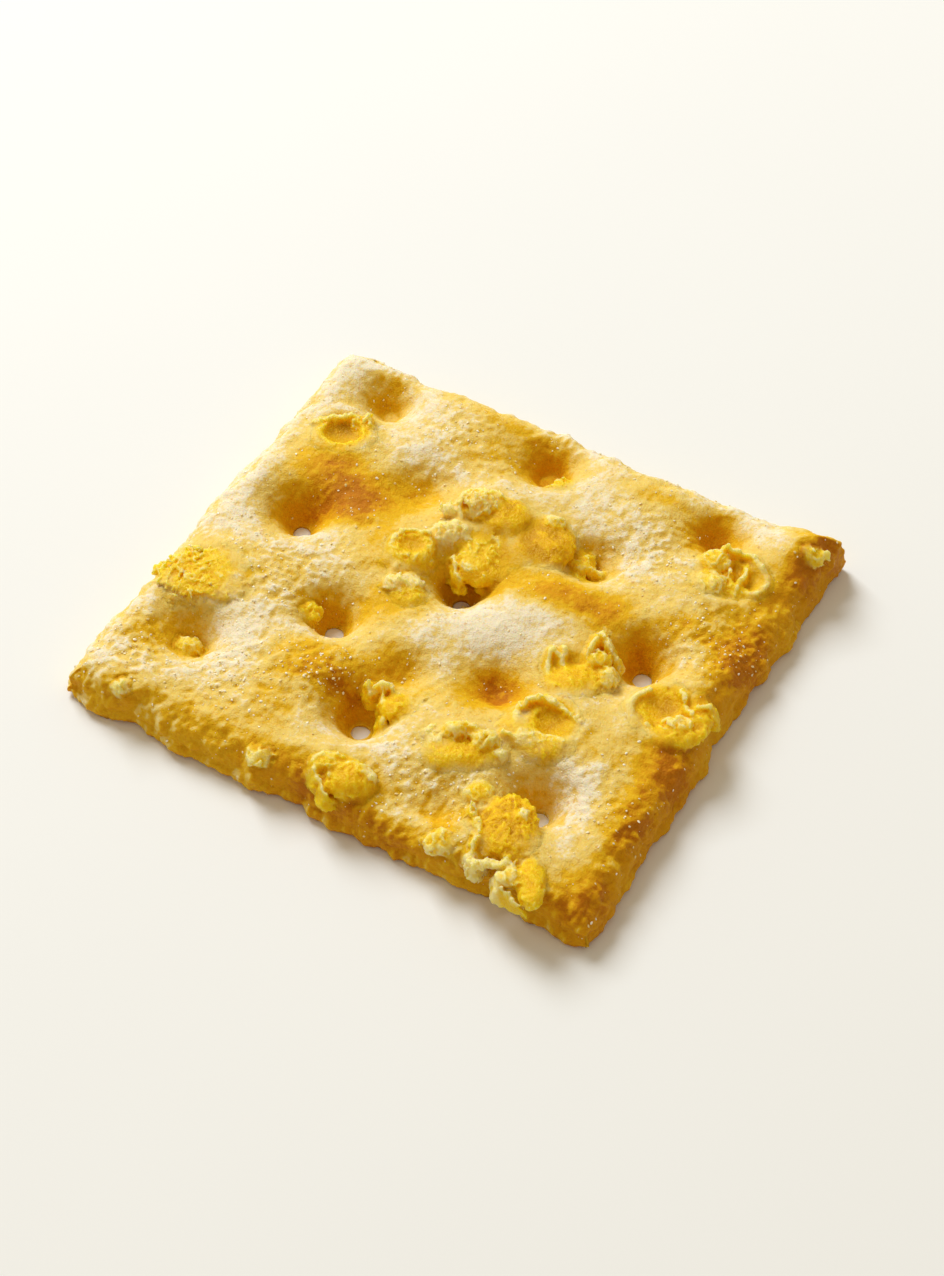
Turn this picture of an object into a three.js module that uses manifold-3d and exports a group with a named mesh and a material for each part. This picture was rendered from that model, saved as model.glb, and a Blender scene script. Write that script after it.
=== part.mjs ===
// Corn cracker: a square, docked and puffed cracker with pieces of sweetcorn baked into its top.
// Millimetres, +Z up. It lies flat on z = 0 with its middle over the origin and is all one solid.

import * as THREE from 'three';
import { mergeVertices } from 'three/addons/utils/BufferGeometryUtils.js';
import Module from 'manifold-3d';

// Driving dimensions of the crust
const LENGTH = 50; // along X
const WIDTH = 45.4; // along Y
const PLATEAU = 3.9; // mean height of the top inside the rim
const RIM_THICKNESS = 1.2; // height where the rounded edge meets the top
const RIM_INSET = 0.3; // how far in from the outline that is
const RIM_REACH = 3; // how far in from there the top keeps rising
const WAIST = 0.15; // how far each side bows in at its middle
// Share of its distance from the middle that each corner is drawn in
const CORNER_PULL = { back: 0.036, right: 0.01, front: 0.007, left: 0.03 };
const CORNER_SHARPNESS = 8; // higher keeps that pull closer to the corner
const EDGE_WAVE = 0.2; // how far the edge wanders in and out
const EDGE_WAVE_TURNS = { x: 7, y: 8 }; // radians of that wave along half a side
const EDGE_WAVE_START = { x: 2, y: 3 }; // where it starts, with the other sign on the opposite side
const EDGE_FADE = 6; // higher keeps the wave closer to the edge and off the corners
// Where a side bulges out or was drawn in: place along it, radius, and how far out
const EDGE_BULGES = {
  back: [
    { at: -21.5, radius: 1.5, out: 0.3 },
    { at: -15.5, radius: 2.5, out: -0.25 },
    { at: -2, radius: 1.4, out: 0.4 },
    { at: 3.5, radius: 1.2, out: 0.3 },
    { at: 22.5, radius: 2.5, out: 0.5 },
  ],
  right: [
    { at: 21.8, radius: 2, out: 0.6 },
    { at: 11.5, radius: 1.6, out: 0.55 },
    { at: 7.9, radius: 1.2, out: 0.35 },
    { at: 0, radius: 3, out: -0.55 },
    { at: -9.8, radius: 1.8, out: 0.3 },
  ],
  front: [
    { at: -21.2, radius: 1.2, out: 0.3 },
    { at: -16.8, radius: 2.2, out: -0.6 },
    { at: -6, radius: 1.3, out: 0.5 },
    { at: -2, radius: 1.8, out: -0.4 },
    { at: 12, radius: 1.2, out: 0.2 },
    { at: 16.8, radius: 1.8, out: -0.6 },
  ],
  left: [
    { at: -21.2, radius: 1.4, out: 0.3 },
    { at: 15, radius: 4, out: -0.2 },
  ],
};
const CURL = { x: 23.8, y: 21.4, radius: 3.2, height: 1 }; // the corner that curled up
const COLUMNS = 42; // cells of the top lattice along X
const ROWS = 38; // and along Y

// The rounded edge, from the underside up to where the top lattice starts: how far in it lies, how high
const EDGE_RINGS = [
  { inset: 0.45, height: 0 },
  { inset: 0.1, height: 0.22 },
  { inset: 0, height: 0.6 },
  { inset: 0.28, height: 1.2 },
  { inset: 0.52, height: 2.2 },
];
const LATTICE_INSET = 1;

// Docker holes: rows of pins a pitch apart, with a second set halfway between them
const DOCKER_PITCH = { x: 16.4, y: 15.6 };
const DOCKER_MIDDLE = { x: -0.9, y: 2.3 };
const PUFF = 0.45; // how far the dough swells between the pins and sinks at them
const HOLE_RADIUS = 0.8; // of a pin that went right through
const HOLE_LIP = 0.3; // thickness of the dough round its hole
const PIT_FLOOR = 0.9; // least height of the floor of a pit that closed again
const PIN_SIDES = 12;

// Each docker by its steps of half a pitch from the middle one, how far it strays from there, the depth
// and radius of the soft well that it drew down, and whether its hole stayed open
const DOCKERS = [
  { step: [-2, 2], stray: [0, 0], depth: 3, radius: 2.1, open: false },
  { step: [0, 2], stray: [0, 0], depth: 3, radius: 2.1, open: false },
  { step: [2, 2], stray: [0, 0], depth: 2.3, radius: 2, open: false },
  { step: [-1, 1], stray: [0, 0], depth: 1.6, radius: 2.6, open: false },
  { step: [1, 1], stray: [0, 0], depth: 2.4, radius: 2.1, open: false },
  { step: [-2, 0], stray: [0.2, 0.2], depth: 3.9, radius: 2.2, open: true },
  { step: [0, 0], stray: [0, 0], depth: 3.9, radius: 2.1, open: true },
  { step: [2, 0], stray: [0.6, 0.6], depth: 3.9, radius: 2.1, open: true },
  { step: [-1, -1], stray: [0.5, -0.2], depth: 3.9, radius: 2.1, open: true },
  { step: [1, -1], stray: [0, 0], depth: 1.8, radius: 2.3, open: false },
  { step: [-2, -2], stray: [0, 0], depth: 2.6, radius: 2.2, open: false },
  { step: [0, -2], stray: [-0.4, -0.1], depth: 3.9, radius: 2.2, open: true },
  { step: [2, -2], stray: [0.1, -0.4], depth: 3.9, radius: 2.1, open: true },
];

// Blisters that rose or fell in the oven: middle, radius and height
const BLISTERS = [
  { x: -12, y: 13, radius: 4, height: 0.35 },
  { x: 8, y: 5.6, radius: 3.2, height: 0.55 },
  { x: -6, y: -10.6, radius: 3.4, height: 0.5 },
  { x: 0, y: -8.2, radius: 2, height: -1.3 },
  { x: 18, y: -11, radius: 4, height: 0.3 },
  { x: 21, y: 19, radius: 3, height: 0.5 },
  { x: 9.5, y: -18.6, radius: 2, height: -0.9 },
];

// Long low waves that keep the top from being regular: height, waves along X and Y, start
const SWELLS = [
  { height: 0.16, along: [0.31, 0.22], start: 1 },
  { height: 0.13, along: [-0.19, 0.43], start: 2.2 },
  { height: 0.08, along: [0.62, -0.35], start: 0.4 },
];

// Sweetcorn lumps: place, half sizes, how far the middle stands above the crust, turn in degrees
const LUMP_CRAG = 0.12; // how far a lump's skin goes in and out, as a share of its size
const BROAD_CRAGS = { x: 3.1, y: 2.7 }; // radians over a half size
const FINE_CRAGS = { x: 4.1, y: -3.3, z: 5.3 };
const FINE_SHARE = 0.7; // depth of the fine crags beside the broad ones
const LARGE_LUMP = 2.7; // from this half length on, a lump has the finer skin
const LUMPS = [
  { at: [-2.6, 9.7], half: [2.8, 1.9, 1.6], stand: 0.4, turn: 15 },
  { at: [3.3, 9.4], half: [2.4, 2.7, 1.4], stand: 0.2, turn: 0 },
  { at: [-0.9, 5.4], half: [2.5, 2.2, 1.5], stand: 0.3, turn: 40 },
  { at: [-4.3, -0.9], half: [2.1, 1.6, 1.2], stand: 0.1, turn: -20 },
  { at: [6.3, 9], half: [1.6, 2.1, 1.3], stand: 0.3, turn: 10 },
  { at: [11.7, -1.9], half: [2.8, 1.3, 1.5], stand: 0, turn: -25 },
  { at: [12.8, 1.3], half: [1.2, 1, 1.4], stand: 0.4, turn: 30 },
  { at: [9.6, 0], half: [0.9, 1.3, 1.3], stand: 0.3, turn: 0 },
  { at: [8.8, -12.8], half: [2.6, 1.9, 1.2], stand: 0.1, turn: 20 },
  { at: [1.4, -11.8], half: [3, 1.3, 1], stand: 0.2, turn: -30 },
  { at: [1.1, -19.7], half: [2.7, 1.4, 1.1], stand: 0.2, turn: -15 },
  { at: [14.5, -18.2], half: [3.2, 2.4, 1.5], stand: 0.1, turn: -30 },
  { at: [17.1, -20.6], half: [3.4, 1.3, 0.9], stand: 0.1, turn: -15 },
  { at: [-19.6, -7.8], half: [3.1, 2.6, 0.8], stand: 0, turn: 5 },
  { at: [-17.6, -13.7], half: [1.8, 1.7, 1.1], stand: 0.7, turn: 0 },
  { at: [-10.6, -6.4], half: [1.5, 1, 0.8], stand: 0.2, turn: 20 },
  { at: [1, 16.6], half: [0.9, 0.8, 0.8], stand: 0.2, turn: 0 },
  { at: [9, 8.4], half: [1.3, 1, 0.9], stand: 0.3, turn: 0 },
];

// Crumbs of corn round the rim: place and half size
const CRUMBS = [
  { at: [-21.6, -20.9], half: 0.9 },
  { at: [-19.2, -21.3], half: 0.8 },
  { at: [-5.7, -21.3], half: 1 },
  { at: [11, -21.3], half: 1 },
  { at: [23.6, 19.2], half: 0.9 },
  { at: [-23.2, -9], half: 0.5 },
];

// Kernels that burst and lie open like a cup: place, half sizes, and their hollow as a share of them
const HUSKS = [
  { at: [-18.4, 11.8], half: [2.9, 3, 1.3], hollow: 0.76, turn: 0 },
  { at: [18.4, 13.5], half: [3.1, 3.1, 1.4], hollow: 0.72, turn: 20 },
  { at: [20.5, -1.6], half: [3, 2.8, 1.5], hollow: 0.72, turn: -20 },
  { at: [-6.1, 2.9], half: [2.4, 2.3, 1.6], hollow: 0.6, turn: 0 },
  { at: [13.2, -7.3], half: [2.8, 2.7, 1.5], hollow: 0.64, turn: 15 },
];
const HUSK_STAND = 0.1; // height of a husk's middle above the crust
const HOLLOW_STAND = 0.9; // height of its hollow's middle above the crust

const wasm = await Module();
wasm.setup();

// How far the corner in the quarter of s and t is drawn in.
function cornerPull(s, t) {
  const [plus, minus] = t > 0 ? ['right', 'back'] : ['front', 'left'];
  return CORNER_PULL[s > 0 ? plus : minus];
}

// A smooth hill of height 1 and the given radius, seen a distance away from its middle.
const hill = (dx, dy, radius) => Math.exp(-(dx * dx + dy * dy) / (radius * radius));

// How far a side's edge lies out at a place along it.
function bulge(side, along) {
  return EDGE_BULGES[side].reduce((sum, { at, radius, out }) => sum + out * hill(along - at, 0, radius), 0);
}

// Where a point of the square lattice, s and t from -1 to 1, lies in plan when drawn in by an inset.
function place(s, t, inset) {
  const pull = 1 - cornerPull(s, t) * (Math.abs(s) * Math.abs(t)) ** CORNER_SHARPNESS;
  const halfX = LENGTH / 2 - inset - WAIST * (1 - t * t);
  const halfY = WIDTH / 2 - inset - WAIST * (1 - s * s);
  const fadeX = s ** EDGE_FADE * (1 - t ** EDGE_FADE);
  const fadeY = t ** EDGE_FADE * (1 - s ** EDGE_FADE);
  const waveX = Math.sin(EDGE_WAVE_TURNS.x * t + EDGE_WAVE_START.x * s);
  const waveY = Math.sin(EDGE_WAVE_TURNS.y * s + EDGE_WAVE_START.y * t);
  const x = s * halfX * pull;
  const y = t * halfY * pull;
  const outX = s ** EDGE_FADE * Math.sign(s) * bulge(s > 0 ? 'right' : 'left', y);
  const outY = t ** EDGE_FADE * Math.sign(t) * bulge(t > 0 ? 'back' : 'front', x);
  return {
    x: x + EDGE_WAVE * fadeX * waveX + outX,
    y: y + EDGE_WAVE * fadeY * waveY + outY,
  };
}

// Plan position of a docker.
function dockerAt({ step: [i, j], stray }) {
  return {
    x: DOCKER_MIDDLE.x + (i * DOCKER_PITCH.x) / 2 + stray[0],
    y: DOCKER_MIDDLE.y + (j * DOCKER_PITCH.y) / 2 + stray[1],
  };
}

// How far the curled corner lifts the top at a place.
const lift = (x, y) => CURL.height * hill(x - CURL.x, y - CURL.y, CURL.radius);

// Height of the crust's top, with the wells of the dockers but without their holes.
function crustHeight(x, y) {
  const inX = LENGTH / 2 - RIM_INSET - Math.abs(x);
  const inY = WIDTH / 2 - RIM_INSET - Math.abs(y);
  const rise = THREE.MathUtils.clamp(Math.min(inX, inY) / RIM_REACH, 0, 1);
  const rim = RIM_THICKNESS + (PLATEAU - RIM_THICKNESS) * Math.sqrt(1 - (1 - rise) ** 2);
  const i = (x - DOCKER_MIDDLE.x) / (DOCKER_PITCH.x / 2);
  const j = (y - DOCKER_MIDDLE.y) / (DOCKER_PITCH.y / 2);
  let relief = -PUFF * Math.cos(Math.PI * i) * Math.cos(Math.PI * j);
  for (const { height, along, start } of SWELLS) {
    relief += height * Math.sin(along[0] * x + along[1] * y + start);
  }
  for (const blister of BLISTERS) {
    relief += blister.height * hill(x - blister.x, y - blister.y, blister.radius);
  }
  let height = rim + rise * relief + lift(x, y);
  for (const docker of DOCKERS) {
    const pin = dockerAt(docker);
    const well = height - docker.depth * hill(x - pin.x, y - pin.y, docker.radius);
    height = Math.max(well, Math.min(height, docker.open ? HOLE_LIP : PIT_FLOOR));
  }
  return height;
}

// A closed geometry as a solid that can be joined and cut.
function toSolid(geometry) {
  geometry.deleteAttribute('normal');
  geometry.deleteAttribute('uv');
  const welded = mergeVertices(geometry);
  return new wasm.Manifold(new wasm.Mesh({
    numProp: 3,
    vertProperties: new Float32Array(welded.attributes.position.array),
    triVerts: new Uint32Array(welded.index.array),
  }));
}

// Lattice points round the border, counter-clockwise seen from above.
function borderSteps() {
  const count = (length, at) => Array.from({ length }, (_, k) => at(k));
  return [
    ...count(COLUMNS, (k) => [k, 0]),
    ...count(ROWS, (k) => [COLUMNS, k]),
    ...count(COLUMNS, (k) => [COLUMNS - k, ROWS]),
    ...count(ROWS, (k) => [0, ROWS - k]),
  ];
}

// The crust: a relief lattice for its top, rings down the rounded edge, and a flat underside.
function crustSolid() {
  const points = [];
  const faces = [];
  const addPoint = (i, j, inset, height) => {
    const { x, y } = place((2 * i) / COLUMNS - 1, (2 * j) / ROWS - 1, inset);
    points.push(x, y, height === undefined ? crustHeight(x, y) : height * (1 + lift(x, y) / PLATEAU));
    return points.length / 3 - 1;
  };

  const top = [];
  for (let j = 0; j <= ROWS; j++) {
    for (let i = 0; i <= COLUMNS; i++) {
      top.push(addPoint(i, j, LATTICE_INSET));
    }
  }
  const topPoint = (i, j) => top[j * (COLUMNS + 1) + i];
  for (let j = 0; j < ROWS; j++) {
    for (let i = 0; i < COLUMNS; i++) {
      const [a, b] = [topPoint(i, j), topPoint(i + 1, j)];
      const [c, d] = [topPoint(i + 1, j + 1), topPoint(i, j + 1)];
      faces.push(...((i + j) % 2 ? [a, b, c, a, c, d] : [a, b, d, b, c, d]));
    }
  }

  const steps = borderSteps();
  const rings = EDGE_RINGS.map(({ inset, height }) => steps.map(([i, j]) => addPoint(i, j, inset, height)));
  rings.push(steps.map(([i, j]) => topPoint(i, j)));
  for (let level = 0; level + 1 < rings.length; level++) {
    for (let k = 0; k < steps.length; k++) {
      const next = (k + 1) % steps.length;
      const [a, b] = [rings[level][k], rings[level][next]];
      const [c, d] = [rings[level + 1][next], rings[level + 1][k]];
      faces.push(a, b, c, a, c, d);
    }
  }

  const under = rings[0];
  const outline = under.map((k) => new THREE.Vector2(points[3 * k], points[3 * k + 1]));
  for (const [a, b, c] of THREE.ShapeUtils.triangulateShape(outline, [])) {
    faces.push(under[c], under[b], under[a]);
  }

  const geometry = new THREE.BufferGeometry();
  geometry.setAttribute('position', new THREE.Float32BufferAttribute(points, 3));
  geometry.setIndex(faces);
  return toSolid(geometry);
}

// The straight hole that a docker pin leaves where it went right through.
function pinSolid(docker) {
  const { x, y } = dockerAt(docker);
  const pin = new THREE.CylinderGeometry(HOLE_RADIUS, HOLE_RADIUS, 2 * PLATEAU, PIN_SIDES);
  pin.rotateX(Math.PI / 2);
  pin.translate(x, y, 0);
  return toSolid(pin);
}

// A craggy lump: a ball whose skin goes in and out, stretched, turned and set in place.
function lumpSolid([x, y, z], half, turn) {
  const ball = new THREE.IcosahedronGeometry(1, half[0] < LARGE_LUMP ? 1 : 2);
  const skin = ball.attributes.position;
  const point = new THREE.Vector3();
  for (let k = 0; k < skin.count; k++) {
    point.fromBufferAttribute(skin, k);
    const broad = Math.sin(BROAD_CRAGS.x * point.x + x) * Math.cos(BROAD_CRAGS.y * point.y + y);
    const fine = Math.sin(point.dot(FINE_CRAGS) + x + y);
    point.multiplyScalar(1 + LUMP_CRAG * (broad + FINE_SHARE * fine));
    skin.setXYZ(k, point.x, point.y, point.z);
  }
  ball.scale(...half);
  ball.rotateZ(THREE.MathUtils.degToRad(turn));
  ball.translate(x, y, z);
  return toSolid(ball);
}

// The largest body of a solid, without any scrap that cutting left loose.
function largestBody(solid) {
  const bodies = solid.decompose();
  return bodies.reduce((largest, body) => (body.volume() > largest.volume() ? body : largest));
}

// The whole cracker: the crust is pierced, the corn is fused on, and the open husks are hollowed.
function crackerSolid() {
  const onCrust = ([x, y], stand) => [x, y, crustHeight(x, y) + stand];
  let cracker = crustSolid();
  for (const docker of DOCKERS.filter(({ open }) => open)) {
    cracker = cracker.subtract(pinSolid(docker));
  }
  for (const { at, half, stand, turn } of LUMPS) {
    cracker = cracker.add(lumpSolid(onCrust(at, stand), half, turn));
  }
  for (const { at, half } of CRUMBS) {
    cracker = cracker.add(lumpSolid(onCrust(at, 0), [half, half, half], 0));
  }
  for (const { at, half, turn } of HUSKS) {
    cracker = cracker.add(lumpSolid(onCrust(at, HUSK_STAND), half, turn));
  }
  for (const { at, half, hollow, turn } of HUSKS) {
    const bowl = [half[0] * hollow, half[1] * hollow, half[2]];
    cracker = cracker.subtract(lumpSolid(onCrust(at, HOLLOW_STAND), bowl, turn));
  }
  return largestBody(cracker);
}

// The joined solid back as a geometry.
function toGeometry(solid) {
  const mesh = solid.getMesh();
  const geometry = new THREE.BufferGeometry();
  geometry.setAttribute('position', new THREE.Float32BufferAttribute(mesh.vertProperties, mesh.numProp));
  geometry.setIndex(new THREE.Uint32BufferAttribute(mesh.triVerts, 1));
  geometry.computeVertexNormals();
  return geometry;
}

const bakedCrust = new THREE.MeshStandardMaterial({ color: 0xe9c785, roughness: 0.75, metalness: 0 });
const cracker = new THREE.Mesh(toGeometry(crackerSolid()), bakedCrust);
cracker.name = 'cracker';
cracker.geometry.computeBoundingBox();
const middle = cracker.geometry.boundingBox.getCenter(new THREE.Vector3());
cracker.position.set(-middle.x, -middle.y, 0);

const part = new THREE.Group();
part.add(cracker);

export default part;
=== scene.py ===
# %% [markdown]
# # A corn cracker
#
# The real thing is one square of thin dough, pierced with docker pins so that it puffs up like a small
# quilt, with pieces of sweetcorn pressed into its top before it was baked. This lesson dresses the plain
# solid in three pieces: the crust, the sweetcorn, and the coarse grains that lie on the crust.
#
# Everything is worked out in millimetres, because that is how a baker would measure it, and it is turned
# into Blender's metres only where a mesh is made.

# %% The solid to dress
import itertools
import math

import bmesh
import bpy
import numpy as np
import openvdb
from mathutils import Matrix, Vector
from mathutils.bvhtree import BVHTree
from mathutils.geometry import delaunay_2d_cdt
from mathutils.kdtree import KDTree


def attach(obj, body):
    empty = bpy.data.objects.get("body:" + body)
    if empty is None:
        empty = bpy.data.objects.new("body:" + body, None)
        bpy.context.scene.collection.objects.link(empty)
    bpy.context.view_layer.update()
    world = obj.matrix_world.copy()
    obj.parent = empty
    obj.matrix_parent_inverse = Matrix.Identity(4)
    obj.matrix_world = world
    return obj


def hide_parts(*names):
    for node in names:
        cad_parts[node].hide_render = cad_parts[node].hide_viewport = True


MM = 0.001
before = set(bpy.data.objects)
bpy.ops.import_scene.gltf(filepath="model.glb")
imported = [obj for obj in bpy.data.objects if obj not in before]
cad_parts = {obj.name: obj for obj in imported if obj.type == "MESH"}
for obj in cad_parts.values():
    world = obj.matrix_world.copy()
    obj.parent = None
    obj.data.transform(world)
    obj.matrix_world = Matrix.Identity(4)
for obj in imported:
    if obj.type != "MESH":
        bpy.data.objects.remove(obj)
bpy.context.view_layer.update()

# %% [markdown]
# ## The camera
#
# The cracker was photographed with a long lens from above its front corner. A camera that looks at a
# point near the middle, from a known turn and height, is easier to read than a matrix, so its three axes
# are worked out from those two angles. The two flat ones, `ACROSS` and `AWAY`, come back later: each
# piece of corn is shaped along them, the way it is seen.

# %% Camera
FRAME_HEIGHT = 1276  # pixels of the upright picture, which Blender's sensor width goes with
FOCAL_PIXELS = 2589.5
SENSOR = 36.0
TURN, HEIGHT_ANGLE = math.radians(30.125), math.radians(50.844)
AIM = Vector((2.12, -1.549, 2.0))
DISTANCE = 215.55

ACROSS = Vector((math.cos(TURN), math.sin(TURN), 0))
AWAY = Vector((-math.sin(TURN), math.cos(TURN), 0))
toward_camera = -AWAY * math.cos(HEIGHT_ANGLE) + Vector((0, 0, math.sin(HEIGHT_ANGLE)))

camera = bpy.data.objects.new("camera", bpy.data.cameras.new("camera"))
camera.data.sensor_width = SENSOR
camera.data.lens = FOCAL_PIXELS * SENSOR / FRAME_HEIGHT
camera.data.clip_start = 0.01
camera.matrix_world = Matrix((ACROSS, toward_camera.cross(ACROSS), toward_camera)).transposed().to_4x4()
camera.matrix_world.translation = (AIM + toward_camera * DISTANCE) * MM
bpy.context.scene.collection.objects.link(camera)
bpy.context.scene.camera = camera
print("lens", round(camera.data.lens, 2), "mm")

# %% [markdown]
# ## Shader recipes in plain sums
#
# A finish is a small tree of nodes. Writing `1 - mask` is easier to follow than making a Math node and
# its links, so one class wraps a node's output and turns Python's operators into Math nodes. Colours go
# through Mix nodes instead, because a Math node would turn them grey.


# %% Wrapped sockets
class Socket:
    """One output of a node, which can be added, multiplied and so on."""

    def __init__(self, finish, output):
        self.finish = finish
        self.output = output

    def math(self, operation, *values):
        settings = {"operation": operation}
        return self.finish.node("ShaderNodeMath", settings, dict(enumerate(values)))

    def __add__(self, other):
        return self.math("ADD", self, other)

    def __sub__(self, other):
        return self.math("SUBTRACT", self, other)

    def __rsub__(self, other):
        return self.math("SUBTRACT", other, self)

    def __mul__(self, other):
        return self.math("MULTIPLY", self, other)

    __radd__ = __add__
    __rmul__ = __mul__

    def between(self, low, high):
        """0 below low, 1 above high, and a smooth step from one to the other."""
        return self.finish.node(
            "ShaderNodeMapRange",
            {"interpolation_type": "SMOOTHSTEP"},
            {"Value": self, "From Min": low, "From Max": high},
        )


# %% Finishes
class Finish:
    """A material that is built up node by node."""

    def __init__(self, name):
        self.material = bpy.data.materials.new(name)
        self.material.use_nodes = True
        self.tree = self.material.node_tree
        self.tree.nodes.clear()

    def node(self, kind, settings, sockets, output=0):
        """Adds a node, sets it up, fills or links its sockets, and gives back one of its outputs."""
        node = self.tree.nodes.new(kind)
        for name, value in settings.items():
            setattr(node, name, value)
        for name, value in sockets.items():
            if isinstance(value, Socket):
                self.tree.links.new(value.output, node.inputs[name])
            else:
                node.inputs[name].default_value = value
        return Socket(self, node.outputs[output]) if node.outputs else None

    def mix(self, amount, first, second):
        """A blend of two colours, each a socket or a plain (red, green, blue)."""
        colours = [c if isinstance(c, Socket) else (*c, 1.0) for c in (first, second)]
        sockets = {0: amount, 6: colours[0], 7: colours[1]}
        return self.node("ShaderNodeMix", {"data_type": "RGBA"}, sockets, output=2)

    def painted(self, name):
        """A value that was worked out for every point of the mesh."""
        return self.node("ShaderNodeAttribute", {"attribute_name": name}, {}, output=2)

    def mottle(self, size, detail=2.0):
        """Cloudy noise from 0 to 1, with clouds about `size` millimetres across."""
        where = self.node("ShaderNodeTexCoord", {}, {}, output=3)
        sockets = {"Vector": where, "Scale": 1 / (size * MM), "Detail": detail}
        return self.node("ShaderNodeTexNoise", {}, sockets)

    def bump(self, height, depth):
        """A normal for relief of the given depth, in millimetres."""
        return self.node("ShaderNodeBump", {}, {"Distance": depth * MM, "Height": height})

    def shader(self, **sockets):
        """The main shader. Underscores in the names stand for spaces."""
        named = {name.replace("_", " "): value for name, value in sockets.items()}
        return self.node("ShaderNodeBsdfPrincipled", {}, named)

    def surface(self, shader):
        """Ends the tree with a shader."""
        self.node("ShaderNodeOutputMaterial", {}, {"Surface": shader})


# %% [markdown]
# ## Table and light
#
# The cracker lies on a plain pale table under one large soft lamp, which stands behind it and to the
# left. So the far walls of its pits fall into shade and the near lips shine. An area lamp is chosen
# because a wide one keeps every shadow soft, as a studio light does. The lamp is a cool white, and the
# sky that fills the shadows is warm, because the light that golden crust throws back is golden too.

# %% Table
TABLE_HALF = 900.0
TABLE_CLOUD = 60.0
TABLE_TINTS = (0.85, 0.86, 0.87), (0.88, 0.89, 0.90)

table_finish = Finish("pale table")
tint = table_finish.mix(table_finish.mottle(TABLE_CLOUD), *TABLE_TINTS)
table_finish.surface(table_finish.shader(Base_Color=tint, Roughness=0.8))

table_mesh = bpy.data.meshes.new("table")
corners = [(x * TABLE_HALF * MM, y * TABLE_HALF * MM, 0) for x, y in ((-1, -1), (1, -1), (1, 1), (-1, 1))]
table_mesh.from_pydata(corners, [], [(0, 1, 2, 3)])
table_mesh.materials.append(table_finish.material)
table = bpy.data.objects.new("table", table_mesh)
bpy.context.scene.collection.objects.link(table)
print("table", 2 * TABLE_HALF, "mm across")

# %% Lamp and sky
LAMP_FROM = Vector((-0.66, 0.40, 0.70))
LAMP_DISTANCE, LAMP_SIZE = 900.0, 420.0
LAMP_WATTS, LAMP_COLOUR = 8.0, (0.94, 0.98, 1.0)
SKY_STRENGTH, SKY_COLOUR = 0.47, (1.0, 0.86, 0.62, 1.0)

lamp = bpy.data.objects.new("lamp", bpy.data.lights.new("lamp", "AREA"))
lamp.data.size = LAMP_SIZE * MM
lamp.data.energy = LAMP_WATTS
lamp.data.color = LAMP_COLOUR
lamp.location = LAMP_FROM.normalized() * LAMP_DISTANCE * MM
lamp.rotation_euler = LAMP_FROM.to_track_quat("Z", "Y").to_euler()
bpy.context.scene.collection.objects.link(lamp)

sky = bpy.data.worlds.new("sky")
sky.use_nodes = True
sky.node_tree.nodes["Background"].inputs["Color"].default_value = SKY_COLOUR
sky.node_tree.nodes["Background"].inputs["Strength"].default_value = SKY_STRENGTH
bpy.context.scene.world = sky
bpy.context.scene.view_settings.view_transform = "Standard"
print("lamp", tuple(round(v, 3) for v in lamp.location), "m")

# %% [markdown]
# ## Unevenness
#
# Nothing baked is regular. Gradient noise, the kind that Blender's own noise texture uses, gives bumps of
# one size that run into each other smoothly. Worked out here for whole arrays of points at once, it can
# shape real geometry, and the fixed seeds make it come out the same every time.

# %% Noise
NOISE_PERIOD = 64  # cells before the pattern comes round again
NOISE_GAIN = 1.6  # brings gradient noise up to about -1 to 1


def noise(points, size, seed):
    """Smooth noise at points in millimetres, with bumps about `size` across."""
    slopes = np.random.default_rng(seed).normal(size=(NOISE_PERIOD,) * 3 + (3,)).astype(np.float32)
    slopes /= np.linalg.norm(slopes, axis=-1, keepdims=True)
    cell = np.asarray(points, np.float32) / size
    low = np.floor(cell)
    part = cell - low
    fade = part**3 * (part * (part * 6 - 15) + 10)
    total = np.zeros(len(cell), np.float32)
    for corner in itertools.product((0, 1), repeat=3):
        weight = np.prod(np.where(corner, fade, 1 - fade), axis=1)
        i, j, k = ((low.astype(int) + corner) % NOISE_PERIOD).T
        total += weight * np.einsum("ij,ij->i", slopes[i, j, k], part - corner)
    return NOISE_GAIN * total


def clouds(points, layers):
    """Noise of several sizes added up: the strength, size and seed of each layer."""
    return sum(strength * noise(points, size, seed) for strength, size, seed in layers)


# %% Pebbles and hills
def pebbles(points, size, seed):
    """Distance from each point to the nearest of a scatter of seeds, which lie about `size` apart."""
    seeds = np.random.default_rng(seed).random((NOISE_PERIOD,) * 3 + (3,)).astype(np.float32)
    cell = np.asarray(points, np.float32) / size
    low = np.floor(cell)
    part = cell - low
    nearest = np.full(len(cell), np.inf, np.float32)
    for corner in itertools.product((-1, 0, 1), repeat=3):
        i, j, k = ((low.astype(int) + corner) % NOISE_PERIOD).T
        far = np.linalg.norm(seeds[i, j, k] + np.float32(corner) - part, axis=1)
        nearest = np.minimum(nearest, far)
    return nearest * size


def hill(dx, dy, radius):
    """A smooth hill of height 1, seen a distance away from its middle."""
    return np.exp(-(dx**2 + dy**2) / radius**2)


# %% [markdown]
# ## The crust's form
#
# The top of the crust is a height for every place in plan: it climbs over a rounded rim, swells between
# the docker pins and sinks round them, and has a few blisters. The sizes are those of the solid, so the
# crust stays where the solid is. Each pin draws the dough down into a soft well, some of them to the very
# bottom.

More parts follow.
